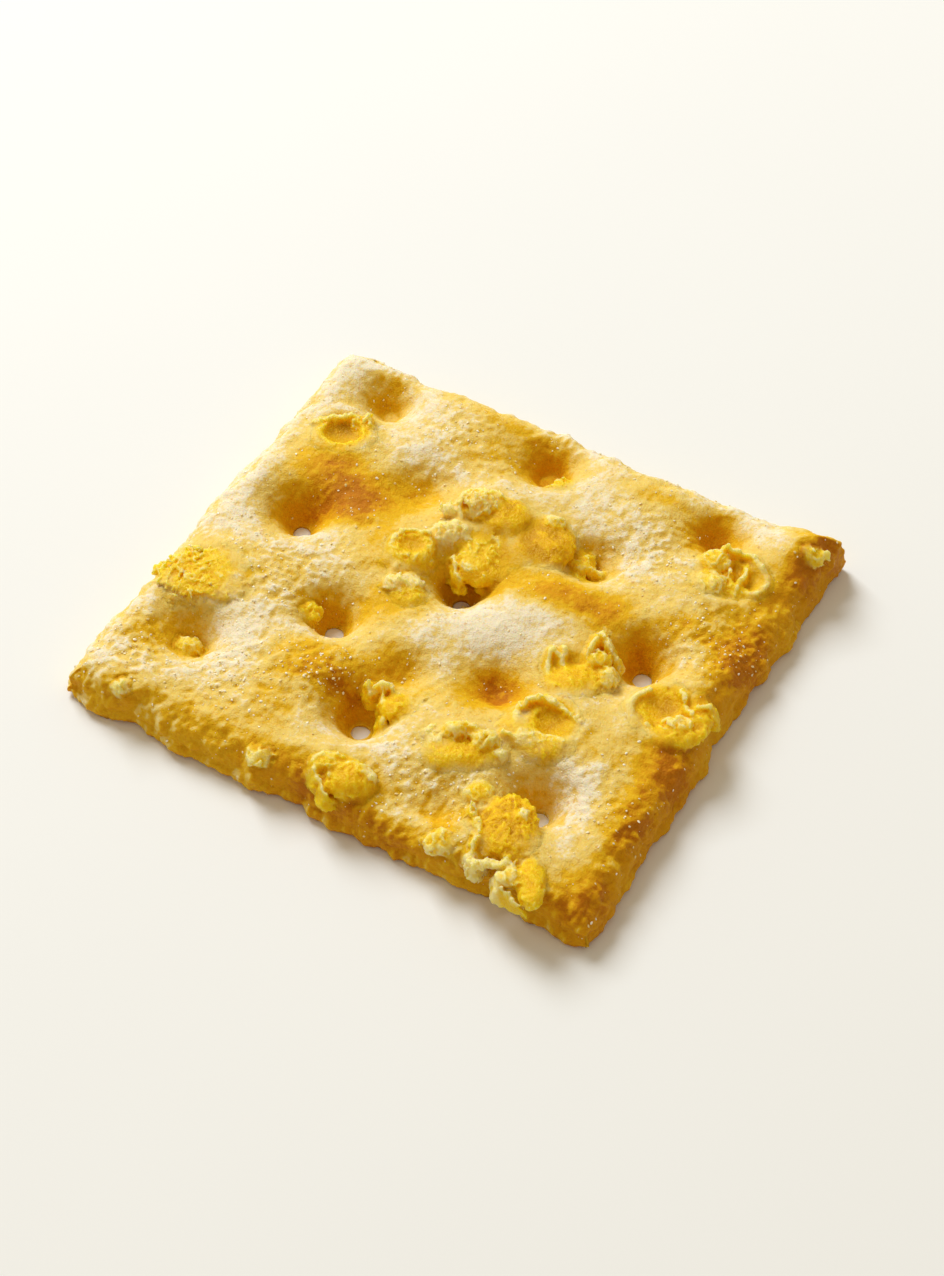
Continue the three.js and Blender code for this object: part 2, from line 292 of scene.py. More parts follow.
# %% Plan and docker pins
LENGTH, WIDTH = 50.0, 45.4
PLATEAU, RIM_THICKNESS, RIM_REACH = 3.9, 1.2, 3.0
TOP_INSET = 0.3  # how far in from the widest line of the rim the top starts
DOCKER_PITCH = (16.4, 15.6)
DOCKER_MIDDLE = (-0.9, 2.3)
DOCKERS = [  # steps of half a pitch, a nudge off that place, depth, radius, and whether it went through
    ((-2, 2), (0.0, 0.0), 3.0, 2.1, False),
    ((0, 2), (0.0, 0.0), 3.0, 2.1, False),
    ((2, 2), (0.0, 0.0), 2.3, 2.0, False),
    ((-1, 1), (0.0, 0.0), 1.6, 2.6, False),
    ((1, 1), (0.0, 0.0), 2.4, 2.1, False),
    ((-2, 0), (0.2, 0.2), 3.9, 2.2, True),
    ((0, 0), (0.0, 0.0), 3.9, 2.1, True),
    ((2, 0), (0.6, 0.6), 3.9, 2.1, True),
    ((-1, -1), (0.5, -0.2), 3.9, 2.1, True),
    ((1, -1), (0.0, 0.0), 1.8, 2.3, False),
    ((-2, -2), (0.0, 0.0), 2.6, 2.2, False),
    ((0, -2), (-0.4, -0.1), 3.9, 2.2, True),
    ((2, -2), (0.1, -0.4), 3.9, 2.1, True),
]


def docker_at(step, nudge):
    """Plan position of a docker."""
    return [m + i * pitch / 2 + n for m, i, pitch, n in zip(DOCKER_MIDDLE, step, DOCKER_PITCH, nudge)]


def inside_edge(x, y):
    """How far a place lies in from the edge of the top."""
    return np.minimum(LENGTH / 2 - TOP_INSET - np.abs(x), WIDTH / 2 - TOP_INSET - np.abs(y))


open_pits = sum(went_through for _, _, _, _, went_through in DOCKERS)
print(len(DOCKERS), "docker pits, of which open", open_pits)

# %% Blisters, nests and swells
PUFF = 0.45  # how far the dough swells between the pins
CURL = (23.8, 21.4, 3.2, 1.0)  # the corner that curled up: x, y, radius, height
BLISTERS = [  # x, y, radius, height
    (-12, 13, 4, 0.35),
    (8, 5.6, 3.2, 0.55),
    (-6, -10.6, 3.4, 0.5),
    (0, -8.2, 2, -1.3),
    (18, -11, 4, 0.3),
    (21, 19, 3, 0.5),
    (9.5, -18.6, 2, -0.9),
]
NESTS = {  # where a kernel was pressed in: x, y, radius, height of the raised edge, depth inside it
    "stub": (-2.6, 9.7, 2.5, 0.2, 0.3),
    "golden half": (3.3, 9.4, 2.6, 0.2, 0.3),
    "folded": (-0.9, 5.4, 2.5, 0.1, 0.3),
    "open cup": (-6.1, 2.9, 2.2, 0.2, 0.3),
    "chunk": (-4.3, -0.9, 1.8, 0.2, 0.2),
    "scraps": (6.3, 9.0, 1.8, 0.0, 0.2),
    "rose": (18.4, 13.5, 2.9, 0.35, 0.8),
    "crater": (20.5, -1.6, 2.9, 0.5, 1.2),
    "splinters": (11.7, -1.9, 2.3, 0.2, 0.3),
    "tilted cup": (13.2, -7.3, 2.5, 0.3, 0.6),
    "cluster": (8.8, -12.8, 2.2, 0.2, 0.3),
    "ragged": (1.4, -11.8, 1.6, 0.1, 0.2),
    "rim kernel": (1.1, -19.7, 2.2, 0.1, 0.2),
    "half kernel": (14.5, -18.2, 2.6, 0.2, 0.4),
    "rim flap": (17.1, -20.6, 2.0, 0.1, 0.2),
    "corner cup": (-18.4, 11.8, 2.7, 0.35, 0.8),
    "rippled": (-20.0, -7.8, 3.0, 0.25, 0.4),
    "pit nub": (-17.6, -13.7, 1.5, 0.0, 0.2),
}
NEST_EDGE, NEST_DIP = 0.9, 0.75  # width of a nest's raised edge, and of its dip beside its radius
SWELLS = [  # height of a wave in the dough, how fast it goes along x and along y, where it starts
    (0.16, 0.31, 0.22, 1.0),
    (0.13, -0.19, 0.43, 2.2),
    (0.08, 0.62, -0.35, 0.4),
]
print(len(BLISTERS), "blisters", len(NESTS), "nests", len(SWELLS), "swells")

# %% Height of the top
HOLE_LIP, PIT_FLOOR = 0.3, 0.9  # how low the top goes at an open hole, and in a closed pit


def lift(x, y):
    """How far the curled corner lifts the top at a place."""
    return CURL[3] * hill(x - CURL[0], y - CURL[1], CURL[2])


def crust_height(x, y, inside=None):
    """Height of the crust's top, at places that may say themselves how far in from the edge they lie."""
    inside = inside_edge(x, y) if inside is None else inside
    rise = np.clip(inside / RIM_REACH, 0, 1)
    rim = RIM_THICKNESS + (PLATEAU - RIM_THICKNESS) * np.sqrt(1 - (1 - rise) ** 2)
    i = (x - DOCKER_MIDDLE[0]) / (DOCKER_PITCH[0] / 2)
    j = (y - DOCKER_MIDDLE[1]) / (DOCKER_PITCH[1] / 2)
    relief = -PUFF * np.cos(np.pi * i) * np.cos(np.pi * j)
    for height, along_x, along_y, start in SWELLS:
        relief += height * np.sin(along_x * x + along_y * y + start)
    for bx, by, radius, height in BLISTERS:
        relief += height * hill(x - bx, y - by, radius)
    for nest_x, nest_y, radius, edge, dip in NESTS.values():
        far = np.hypot(x - nest_x, y - nest_y)
        relief += edge * hill(far - radius, 0, NEST_EDGE) - dip * hill(far, 0, NEST_DIP * radius)
    height = rim + rise * relief + lift(x, y)
    for step, nudge, depth, radius, through in DOCKERS:
        px, py = docker_at(step, nudge)
        well = height - depth * hill(x - px, y - py, radius)
        floor = HOLE_LIP if through else PIT_FLOOR
        height = np.maximum(well, np.minimum(height, floor))
    return height


print("crust over the middle of a pillow", round(float(crust_height(8.0, 2.0)), 2), "mm")

# %% [markdown]
# ## The crust as a mesh
#
# A fine lattice carries the top, rings of points carry it down round the rim, and a coarser net closes
# the flat underside. A lattice is better here than a sculpted block: the fine relief then has even cells
# to sit on, and the mesh is closed without any repair.

# %% Outline in plan
WAIST = 0.15
CORNER_PULL = {"back": 0.036, "right": 0.01, "front": 0.007, "left": 0.03}
CORNER_SHARPNESS = 8
EDGE_WAVE, EDGE_FADE = 0.2, 6
EDGE_BULGES = {  # where a side bulges out or was drawn in: place along it, radius, how far out
    "back": [(-21.5, 1.5, 0.3), (-15.5, 2.5, -0.25), (-2, 1.4, 0.4), (3.5, 1.2, 0.3), (22.5, 2.5, 0.5)],
    "right": [(21.8, 2, 0.6), (11.5, 1.6, 0.55), (7.9, 1.2, 0.35), (0, 3, -0.55), (-9.8, 1.8, 0.3)],
    "front": [
        (-21.2, 1.2, 0.3),
        (-16.8, 2.2, -0.6),
        (-6, 1.3, 0.5),
        (-2, 1.8, -0.4),
        (12, 1.2, 0.2),
        (16.8, 1.8, -0.6),
    ],
    "left": [(-21.2, 1.4, 0.3), (15, 4, -0.2)],
}


def bulge(side, along):
    """How far a side's edge lies out at places along it."""
    return sum(out * hill(along - at, 0, radius) for at, radius, out in EDGE_BULGES[side])


def place(s, t, inset):
    """Plan position of a lattice point, s and t from -1 to 1, drawn in by an inset."""
    pull = np.where(
        t > 0,
        np.where(s > 0, CORNER_PULL["right"], CORNER_PULL["back"]),
        np.where(s > 0, CORNER_PULL["front"], CORNER_PULL["left"]),
    )
    pull = 1 - pull * np.abs(s * t) ** CORNER_SHARPNESS
    wave_x = s**EDGE_FADE * (1 - t**EDGE_FADE) * np.sin(7 * t + 2 * s)
    wave_y = t**EDGE_FADE * (1 - s**EDGE_FADE) * np.sin(8 * s + 3 * t)
    x = s * (LENGTH / 2 - inset - WAIST * (1 - t * t)) * pull
    y = t * (WIDTH / 2 - inset - WAIST * (1 - s * s)) * pull
    out_x = s**EDGE_FADE * np.sign(s) * np.where(s > 0, bulge("right", y), bulge("left", y))
    out_y = t**EDGE_FADE * np.sign(t) * np.where(t > 0, bulge("back", x), bulge("front", x))
    return x + EDGE_WAVE * wave_x + out_x, y + EDGE_WAVE * wave_y + out_y


front_corner = place(np.float64(1), np.float64(-1), 0)
print("front corner", [round(float(v), 2) for v in front_corner], "mm")

# %% Lattice lines
CELL = 0.172  # of the top lattice
RIM_ROWS = 26  # lattice lines that climb over the rim


def lattice_lines(size):
    """Places of the lattice lines from edge to edge, as shares of half the size, closer on the rim."""
    half = size / 2 - TOP_INSET
    climb = np.linspace(0, np.pi / 2, RIM_ROWS, endpoint=False)
    rim = half - RIM_REACH * (1 - np.cos(climb))
    flat = half - RIM_REACH
    middle = np.linspace(-flat, flat, round(2 * flat / CELL))
    return np.concatenate([-rim, middle, rim[::-1]]) / half


print("lattice", len(lattice_lines(LENGTH)), "by", len(lattice_lines(WIDTH)), "lines")

# %% Underside
UNDER_CELL = 0.8


def underside(edge, edge_numbers, first):
    """Points and faces that close the flat bottom inside an edge. New points are numbered from `first`."""
    net_x, net_y = np.meshgrid(
        np.arange(UNDER_CELL - LENGTH / 2, LENGTH / 2, UNDER_CELL),
        np.arange(UNDER_CELL - WIDTH / 2, WIDTH / 2, UNDER_CELL),
    )
    net = np.stack([net_x.ravel(), net_y.ravel()], -1)
    net = net[inside_edge(net[:, 0], net[:, 1]) > 2 * UNDER_CELL]
    flat = [Vector(p) for p in np.concatenate([edge, net])]
    closed = delaunay_2d_cdt(flat, [], [list(range(len(edge)))], 1, 1e-6)
    number_of = np.concatenate([edge_numbers, np.arange(first, first + len(net))])
    sources = [int(number_of[origin[0]]) for origin in closed[3]]
    faces = [[sources[k] for k in reversed(face)] for face in closed[2]]
    return np.column_stack([net, np.zeros(len(net))]), faces


# %% Closed crust
CENTRING = Vector((-0.192, -0.111, 0))  # sets the uneven outline square over the origin
RIM_RINGS = [  # how far in each ring lies, and how high
    (0.14, 1.0),
    (0.03, 0.78),
    (0.0, 0.55),
    (0.06, 0.33),
    (0.2, 0.14),
    (0.45, 0.0),
]


def piece_from(name, points, faces):
    """A Blender object from points in millimetres and faces, shaded smooth."""
    mesh = bpy.data.meshes.new(name)
    mesh.from_pydata((np.asarray(points) * MM).tolist(), [], faces)
    mesh.shade_smooth()
    piece = bpy.data.objects.new(name, mesh)
    piece.location = CENTRING * MM
    bpy.context.scene.collection.objects.link(piece)
    return piece


def crust_mesh():
    """Points and faces of the closed crust, before its holes and fine relief."""
    t, s = np.meshgrid(lattice_lines(WIDTH), lattice_lines(LENGTH), indexing="ij")
    x, y = place(s, t, TOP_INSET)
    inside = inside_edge(s * (LENGTH / 2 - TOP_INSET), t * (WIDTH / 2 - TOP_INSET))
    points = [np.stack([x, y, crust_height(x, y, inside)], -1).reshape(-1, 3)]
    number = np.arange(x.size).reshape(x.shape)
    cells = [number[:-1, :-1], number[:-1, 1:], number[1:, 1:], number[1:, :-1]]
    faces = np.stack(cells, -1).reshape(-1, 4).tolist()

    border = np.concatenate([number[0, :-1], number[:-1, -1], number[-1, :0:-1], number[:0:-1, 0]])
    upper = border
    count = x.size
    for inset, height in RIM_RINGS:
        rx, ry = place(s.ravel()[border], t.ravel()[border], inset)
        points.append(np.stack([rx, ry, height * (1 + lift(rx, ry) / PLATEAU)], -1))
        lower = np.arange(count, count + len(border))
        count += len(border)
        walls = [lower, np.roll(lower, -1), np.roll(upper, -1), upper]
        faces += np.stack(walls, -1).tolist()
        upper = lower

    bottom_points, bottom_faces = underside(points[-1][:, :2], upper, count)
    return np.concatenate([*points, bottom_points]), faces + bottom_faces


crust = piece_from("crust", *crust_mesh())
print("crust", len(crust.data.vertices), "points", len(crust.data.polygons), "faces")

# %% [markdown]
# ## Docker holes
#
# Six of the pins went right through the dough and left holes that show daylight. Cutting them with a
# Boolean modifier gives clean round edges, and the modifier is applied at once, so that the crust stays
# one plain mesh that can be worked on further.

# %% Holes
HOLE_RADIUS, HOLE_SIDES = 0.8, 24


def drilled(piece, places, radius, depth):
    """Cuts straight round holes through a piece."""
    turn = np.linspace(0, 2 * np.pi, HOLE_SIDES, endpoint=False)
    ring = np.stack([radius * np.cos(turn), radius * np.sin(turn)], -1)
    points, faces = [], []
    for middle in places:
        low = np.arange(HOLE_SIDES) + len(points) * HOLE_SIDES
        high = low + HOLE_SIDES
        for height in (-depth, depth):
            points.append(np.column_stack([ring + middle, np.full(HOLE_SIDES, height)]))
        faces += [low[::-1].tolist(), high.tolist()]
        faces += np.stack([low, np.roll(low, -1), np.roll(high, -1), high], -1).tolist()
    pins = piece_from("pins", np.concatenate(points), faces)
    cut = piece.modifiers.new("holes", "BOOLEAN")
    cut.object, cut.solver = pins, "MANIFOLD"
    shaped = piece.evaluated_get(bpy.context.evaluated_depsgraph_get())
    mesh = bpy.data.meshes.new_from_object(shaped)
    piece.modifiers.clear()
    piece.data = mesh
    bpy.data.objects.remove(pins)


through = [docker_at(step, nudge) for step, nudge, _, _, open_below in DOCKERS if open_below]
drilled(crust, through, HOLE_RADIUS, PLATEAU)
crust.data.shade_smooth()
print("crust with holes", len(crust.data.polygons), "faces")

# %% [markdown]
# ## Fine relief
#
# Close up, the crust is sandy: bumps a few tenths of a millimetre across on the domes, coarser ones on
# the rim, where the dough was cut. The points move along their normals by noise of several sizes, so the
# relief is real and also shows at the outline.


# %% Points and normals
def points_of(mesh):
    """The points of a mesh, in millimetres."""
    values = np.empty(len(mesh.vertices) * 3, np.float32)
    mesh.vertices.foreach_get("co", values)
    return values.reshape(-1, 3) / MM


def normals_of(mesh):
    """The normals of a mesh at its points."""
    values = np.empty(len(mesh.vertices) * 3, np.float32)
    mesh.vertex_normals.foreach_get("vector", values)
    return values.reshape(-1, 3)


def move_points(mesh, points):
    """Puts the points of a mesh in new places, given in millimetres."""
    mesh.vertices.foreach_set("co", (np.asarray(points, np.float32) * MM).ravel())
    mesh.update()


# %% Rough places
GRAINY = [  # where the crust is rough with grains: x, y, radius, strength
    (-13.5, -4.5, 4.5, 1.0),
    (-6.3, -12.0, 4.0, 1.0),
    (-20.5, -18.0, 4.0, 0.9),
    (11.0, -18.0, 3.5, 0.8),
    (18.5, -12.0, 4.0, 0.7),
    (11.5, 13.0, 4.0, 0.8),
    (19.5, 6.5, 4.0, 1.0),
    (-9.5, 15.0, 4.0, 0.6),
    (5.0, -16.5, 5.0, 0.8),
    (-12.0, -17.0, 4.0, 0.8),
]


def grainy(points):
    """How rough the crust is at each point, from 0 to 1."""
    x, y = points[:, 0], points[:, 1]
    rough = sum(strength * hill(x - gx, y - gy, radius) for gx, gy, radius, strength in GRAINY)
    return np.clip(rough + 0.35 * noise(points, 5.0, 11), 0, 1)


print(len(GRAINY), "rough places")

# %% Relief
RIM_PEBBLE, RIM_PEBBLE_HEIGHT = 1.4, 0.35
GRIT, GRIT_HEIGHT, GRIT_ON_ROUGH = 0.6, 0.03, 0.22
BOTTOM_CLOUD, BOTTOM_HEIGHT = 2.0, 0.12  # the underside isn't quite flat

place_mm, outward = points_of(crust.data), normals_of(crust.data)
on_rim = 1 - np.clip(inside_edge(place_mm[:, 0], place_mm[:, 1]) / RIM_REACH, 0, 1)
rough = np.clip(grainy(place_mm) + 0.7 * on_rim, 0, 1)
bumps = [  # height, size across and seed, from broad lumps to sand
    (0.13, 4.2, 1),
    (0.09 + 0.2 * on_rim, 1.7, 2),
    (0.06 + 0.10 * rough, 0.95, 3),
    (0.05 + 0.09 * rough, 0.46, 4),
]
relief = clouds(place_mm, bumps)
relief += RIM_PEBBLE_HEIGHT * on_rim * (0.5 - pebbles(place_mm, RIM_PEBBLE, 7) / RIM_PEBBLE)
relief += (GRIT_HEIGHT + GRIT_ON_ROUGH * rough) * (GRIT / 2 - pebbles(place_mm, GRIT, 6))
raised = place_mm + outward * relief[:, None]
bottom = (outward[:, 2] < -0.9) & (place_mm[:, 2] < 0.05)
raised[bottom, 2] = BOTTOM_HEIGHT * np.clip(noise(place_mm[bottom], BOTTOM_CLOUD, 5) + 0.3, 0, 1)
raised[:, 2] = np.maximum(raised[:, 2], 0)
move_points(crust.data, raised)
print("relief up to", round(float(np.abs(relief).max()), 2), "mm")

# %% [markdown]
# ## Where the oven browned it, and where shade is painted
#
# A cracker isn't one colour. The domes stay paler and the hollows and slopes turn golden, and blisters, the
# rim and the corners get toasted. Shade is painted in as well: pits, steep slopes, sunken grains and the
# slopes and rim that face away from the lamp are painted golden to darker, and proud grains and domes are
# painted paler, as highlights. Dough takes all these colours one after the other, so a single number for
# every point of the mesh is enough: 0 is cream, 1 honey, 2 gold, 3 amber and 4 brown. It is worked out
# from the point's place, from which way it faces and from how far it stands proud of its surroundings, so
# the colours follow the form exactly.


# %% Proud and sunken points
def proud(mesh, rounds):
    """How far each point stands above the average of its neighbours, in millimetres."""
    ends = np.empty(len(mesh.edges) * 2, np.int32)
    mesh.edges.foreach_get("vertices", ends)
    ends = np.concatenate([ends.reshape(-1, 2), ends.reshape(-1, 2)[:, ::-1]])
    here, there = ends.T
    count = np.bincount(here, minlength=len(mesh.vertices))
    points = points_of(mesh)
    calm = points.copy()
    for _ in range(rounds):
        sums = [np.bincount(here, calm[there, axis], len(points)) for axis in range(3)]
        calm = np.stack(sums, -1) / count[:, None]
    return np.einsum("ij,ij->i", points - calm, normals_of(mesh))


def paint(mesh, name, values):
    """Stores a value for every point of a mesh, where a finish can read it."""
    layer = mesh.attributes.new(name, "FLOAT", "POINT")
    layer.data.foreach_set("value", np.asarray(values, np.float32))
    print(name, "from", round(float(values.min()), 2), "to", round(float(values.max()), 2))


# %% Golden and pale areas
# Partly the crust's own colour and partly painted shade; most pale ones beside the pits are painted light
# on pit walls that lie in shade.
GOLDEN_AND_PALE_AREAS = [  # broad golden areas and, below zero, pale ones: x, y, half sizes, turn in degrees, strength
    (-5.0, 16.0, 5.0, 2.2, 0, 1.1),
    (-11.0, 6.5, 4.0, 3.2, 0, 1.5),
    (5.8, -8.2, 2.8, 1.8, 0, 1.3),
    (-5.5, -4.0, 2.6, 2.2, 0, 1.6),
    (-2.0, -8.0, 2.2, 1.8, 0, 1.2),
    (-9.0, -20.0, 11.0, 2.2, 0, 0.9),
    (-8.0, -16.0, 3.5, 2.0, 0, 0.5),
    (10.0, -20.0, 1.8, 1.8, 0, 1.2),
    (22.0, 2.0, 3.0, 15.0, 0, 0.6),
    (10.0, 18.0, 6.0, 2.5, 0, 0.5),
    (14.0, 16.0, 2.0, 1.6, 0, 0.8),
    (-10.0, 20.5, 8.0, 1.6, 0, 0.4),
    (14.0, 8.5, 5.0, 3.0, 0, 0.45),
    (-14.0, -4.0, 3.0, 2.5, 0, 0.6),
    (-18.0, 0.2, 2.0, 2.0, 0, 0.7),
    (-10.0, 1.5, 2.2, 2.6, 0, 0.9),
    (-2.0, -1.5, 2.2, 3.0, 0, 0.5),
    (2.0, 4.0, 2.2, 1.8, 0, 1.2),
    (6.0, -12.0, 1.8, 1.8, 0, 0.5),
    (18.0, -8.0, 2.0, 1.8, 0, 0.6),
    (-20.0, -17.0, 3.0, 4.0, 0, 0.2),
    (15.5, -12.0, 3.4, 2.4, 0, -0.9),
    (-18.0, -12.0, 2.2, 2.0, 0, -1.0),
    (6.0, 10.5, 2.0, 2.4, 0, -1.0),
    (-10.0, 12.0, 2.4, 2.0, 0, -0.5),
    (14.0, 4.0, 1.8, 1.8, 0, -0.6),
    (6.0, -3.0, 2.4, 2.4, 0, -0.8),
    (6.0, 0.5, 3.0, 1.8, 0, -0.3),
    (-14.0, -12.0, 3.0, 2.5, 0, -0.4),
]


def patches(points, areas):
    """How strongly some areas, with soft edges, cover each point."""
    cover = np.zeros(len(points))
    for middle_x, middle_y, half_x, half_y, turn, strength in areas:
        c, s = math.cos(math.radians(turn)), math.sin(math.radians(turn))
        dx, dy = points[:, 0] - middle_x, points[:, 1] - middle_y
        cover += strength * hill((dx * c + dy * s) / half_x, (dy * c - dx * s) / half_y, 1.0)
    return cover


print(len(GOLDEN_AND_PALE_AREAS), "golden and pale areas")

# %% Toasted places
TOASTED = [  # written down in the same way
    (-16.5, 7.0, 4.0, 2.4, 10, 1.0),
    (-13.8, 5.0, 2.8, 2.2, 20, 1.2),
    (-6.5, -11.5, 3.8, 2.4, 10, 1.0),
    (9.2, 5.0, 5.2, 1.7, 3, 1.4),
    (23.2, 17.0, 2.0, 3.0, 0, 0.6),
    (22.9, 7.0, 1.9, 3.6, 0, 1.0),
    (22.8, -6.8, 1.9, 2.8, 0, 1.0),
    (22.8, -12.5, 1.9, 3.0, 0, 0.8),
    (23.0, -20.0, 2.6, 2.6, 0, 0.7),
    (0.0, -21.4, 4.0, 1.2, 0, 0.5),
    (6.5, -22.2, 3.0, 1.0, 0, 0.5),
    (-20.5, -15.0, 2.2, 1.8, 0, 0.4),
    (18.0, 7.0, 2.2, 1.6, 0, 0.5),
    (-6.0, 20.0, 6.0, 1.4, 0, 0.35),
    (9.0, 18.5, 2.6, 1.4, 0, 0.35),
    (-7.0, -17.0, 2.6, 1.6, 0, 0.3),
    (-24.0, -21.5, 1.6, 1.6, 0, 0.2),
    (23.5, 21.5, 2.0, 1.8, 0, 0.8),
]
TOASTED_PITS = {(0, 2): 0.3, (2, 2): 0.4, (0, 0): 0.1, (1, -1): 1.1, (2, 0): 0.3, (-1, 1): 0.2}
PIT_HALF = 2.0  # how far round a pit its browning and its painted shade go
TOAST_MOTTLE = [(0.35, 2.4, 21), (0.3, 0.9, 22), (0.3, 0.4, 23)]  # strength, size and seed


def toasted(points):
    """How brown the oven left each point, from 0 to 1."""
    pits = [(*docker_at(step, (0, 0)), PIT_HALF, PIT_HALF, 0, pit) for step, pit in TOASTED_PITS.items()]
    return np.clip(patches(points, TOASTED + pits) * (0.9 + clouds(points, TOAST_MOTTLE)), 0, 1)


print(len(TOASTED), "toasted places and", len(TOASTED_PITS), "toasted pits")

# %% Browning and painted shade of the crust
GOLDEN = 2.4  # as brown as dough gets, painted shade included, where it isn't toasted
NEST_GOLD_REACH = 1.15  # how far the gold round a kernel's nest reaches, in radii of its nest
OFF_THE_LAMP = np.array([0.85, -0.5])  # slopes that face this way get the most painted shade

place_mm, outward = points_of(crust.data), normals_of(crust.data)
x, y = place_mm[:, 0], place_mm[:, 1]
wells = [(*docker_at(step, nudge), depth / PLATEAU) for step, nudge, depth, _, _ in DOCKERS]
hollow = sum(deep * hill(x - px, y - py, PIT_HALF) for px, py, deep in wells)
near_nests = sum(hill(x - nx, y - ny, NEST_GOLD_REACH * radius) for nx, ny, radius, _, _ in NESTS.values())
painted_shade_off_lamp = np.clip(outward[:, :2] @ OFF_THE_LAMP, 0, 1)
steep = np.clip(1 - outward[:, 2], 0, 1)
broad = np.clip(proud(crust.data, 30), -0.2, 0.15)
fine = np.clip(proud(crust.data, 3), -0.1, 0.1)

# Painted shade: pits, steep slopes and slopes facing away from the lamp are painted golden, and sunken
# points darker. Painted highlight: proud points and domes are painted paler.
browning_and_shade = 0.35 + 0.8 * hollow + 0.6 * np.clip(near_nests, 0, 1) + 1.5 * painted_shade_off_lamp + 0.4 * steep
browning_and_shade += patches(place_mm, GOLDEN_AND_PALE_AREAS) - 2.5 * broad - 4.0 * fine
browning_and_shade += clouds(place_mm, [(0.3, 4.5, 31), (0.4, 1.4, 32)])
on_rim = 1 - np.clip(inside_edge(x, y) / RIM_REACH, 0, 1)
patchy = 1 + clouds(place_mm, [(0.5, 2.2, 34), (0.4, 0.9, 35)])
# The rim browns, and where it faces away from the lamp it gets painted shade as well.
browning_and_shade += on_rim**0.7 * (0.3 + 2.6 * painted_shade_off_lamp) * patchy
browning_and_shade = np.clip(browning_and_shade, 0, GOLDEN) + 2.8 * toasted(place_mm)
under = np.clip(-outward[:, 2], 0, 1) * (2.0 + noise(place_mm, 6.0, 33))
paint(crust.data, "browning_and_shade", np.clip(browning_and_shade + under, 0, 4))

# %% [markdown]
# ## The crust's finish
#
# Baked dough is dry but not chalky: light goes a little way in and comes out warmer, and oil makes tiny
# glints. So the main shader gets some subsurface scattering in millimetre distances, a roughness that
# changes from grain to grain, and a fine bump below the size of the lattice.

# %% Crust finish
BROWNING = [  # from cream by honey, gold and amber to brown
    (0.86, 0.77, 0.57),
    (0.83, 0.60, 0.15),
    (0.79, 0.46, 0.010),
    (0.70, 0.33, 0.004),
    (0.53, 0.18, 0.004),
]
FLECK = (0.60, 0.26, 0.02)  # of bran


def crust_colour(finish):
    """The crust's colours, in a finish whose mesh has the painted values. Corn juice stains it too."""
    speck, grain = finish.mottle(0.45, 3.0), finish.mottle(0.26, 2.0)
    browning_and_shade = finish.painted("browning_and_shade") + 0.8 * finish.painted("stain") + 1.3 * (0.5 - grain)
    colour = BROWNING[0]
    for step, browner in enumerate(BROWNING[1:]):
        colour = finish.mix(browning_and_shade.between(step, step + 1), colour, browner)
    return finish.mix(speck.between(0.62, 0.74) * 0.5, colour, FLECK)


def crust_shader(finish):
    """The main shader of the crust."""
    sand = finish.mottle(0.14, 2.0)
    return finish.shader(
        Base_Color=crust_colour(finish),
        Roughness=0.45 + 0.35 * sand,
        Specular_IOR_Level=0.2,
        Specular_Tint=(1.0, 0.75, 0.35, 1.0),
        Normal=finish.bump(0.5 * sand + 0.5 * finish.mottle(0.3, 3.0), 0.16),
        Subsurface_Weight=0.4,
        Subsurface_Radius=(0.9, 0.65, 0.25),
        Subsurface_Scale=0.7 * MM,
    )


crust_finish = Finish("baked crust")
crust_finish.surface(crust_shader(crust_finish))
crust.data.materials.clear()
crust.data.materials.append(crust_finish.material)
print("crust finish", len(crust_finish.tree.nodes), "nodes")

# %% [markdown]
# ## Sweetcorn, built up in cells
#
# The corn burst in the oven. What is left of a kernel is golden flesh that runs into the crust without a
# seam, with thin pale edges standing up wherever its skin tore. Such shapes are hard to pull out of a
# sphere, but easy to add up: in a block of small cells each cell holds its distance from the surface,
# adding a lump takes the smaller distance, and hollowing takes the larger. OpenVDB, which Blender
# carries, then lays a skin of faces over the places where the distance is zero. One block covers the
# whole cracker, and each stroke works on the few cells round it.
#
# Every kernel has axes of its own, across and away as the camera sees it and up from the crust. A point
# that stands up looks further away than it is. So its place is given as it is seen, together with its
# height, and `LEAN` puts it right.

# %% Cells
CORN_CELL = 0.11
CORN_TOP = 7.0
FAR = 9.0  # a distance that no stroke reaches
reaches = [(-LENGTH / 2 - 1, LENGTH / 2 + 1), (-WIDTH / 2 - 1, WIDTH / 2 + 1), (0, CORN_TOP)]
cell_x, cell_y, cell_z = [np.arange(low, high, CORN_CELL, dtype=np.float32) for low, high in reaches]
corn_distance = np.full((len(cell_x), len(cell_y), len(cell_z)), FAR, np.float32)
corn_pale = np.zeros_like(corn_distance)
print("cells", corn_distance.shape)

# %% Uneven flesh
PATCH = 140  # cells of unevenness, from which every stroke takes a part of its own
KNOB = 0.8  # size of the knobs on crumbly flesh
TEAR, TEAR_WIDTH = 1.0, 0.35  # size of the cells between torn edges, and the share that is edge

patch_steps = [np.arange(count) * CORN_CELL for count in (PATCH, PATCH, len(cell_z))]
patch_shape = [len(steps) for steps in patch_steps]
patch_cells = np.stack(np.meshgrid(*patch_steps, indexing="ij"), -1).reshape(-1, 3)
broad_patch = noise(patch_cells, 1.1, 101).reshape(patch_shape)
fine_patch = noise(patch_cells, 0.45, 102).reshape(patch_shape)
knob_patch = (pebbles(patch_cells, KNOB, 103) / KNOB - 0.45).reshape(patch_shape)
near_edges = [np.abs(noise(patch_cells, TEAR / n, 103 + n)) / TEAR_WIDTH for n in (1, 2)]
wide, narrow = [np.clip(1 - far, 0, 1) ** 1.5 for far in near_edges]
tear_patch = (0.55 * wide + 0.45 * narrow).reshape(patch_shape)
print("uneven patch", broad_patch.shape)

# %% Strokes in the cells
STROKE_MARGIN = 2.2  # how far round a stroke the cells are worked out
SQUAT = 0.68  # the corn sank a little as it cooled
LEAN = 1 / math.tan(HEIGHT_ANGLE)
FLAT_AXES = np.array([ACROSS[:2], AWAY[:2]])


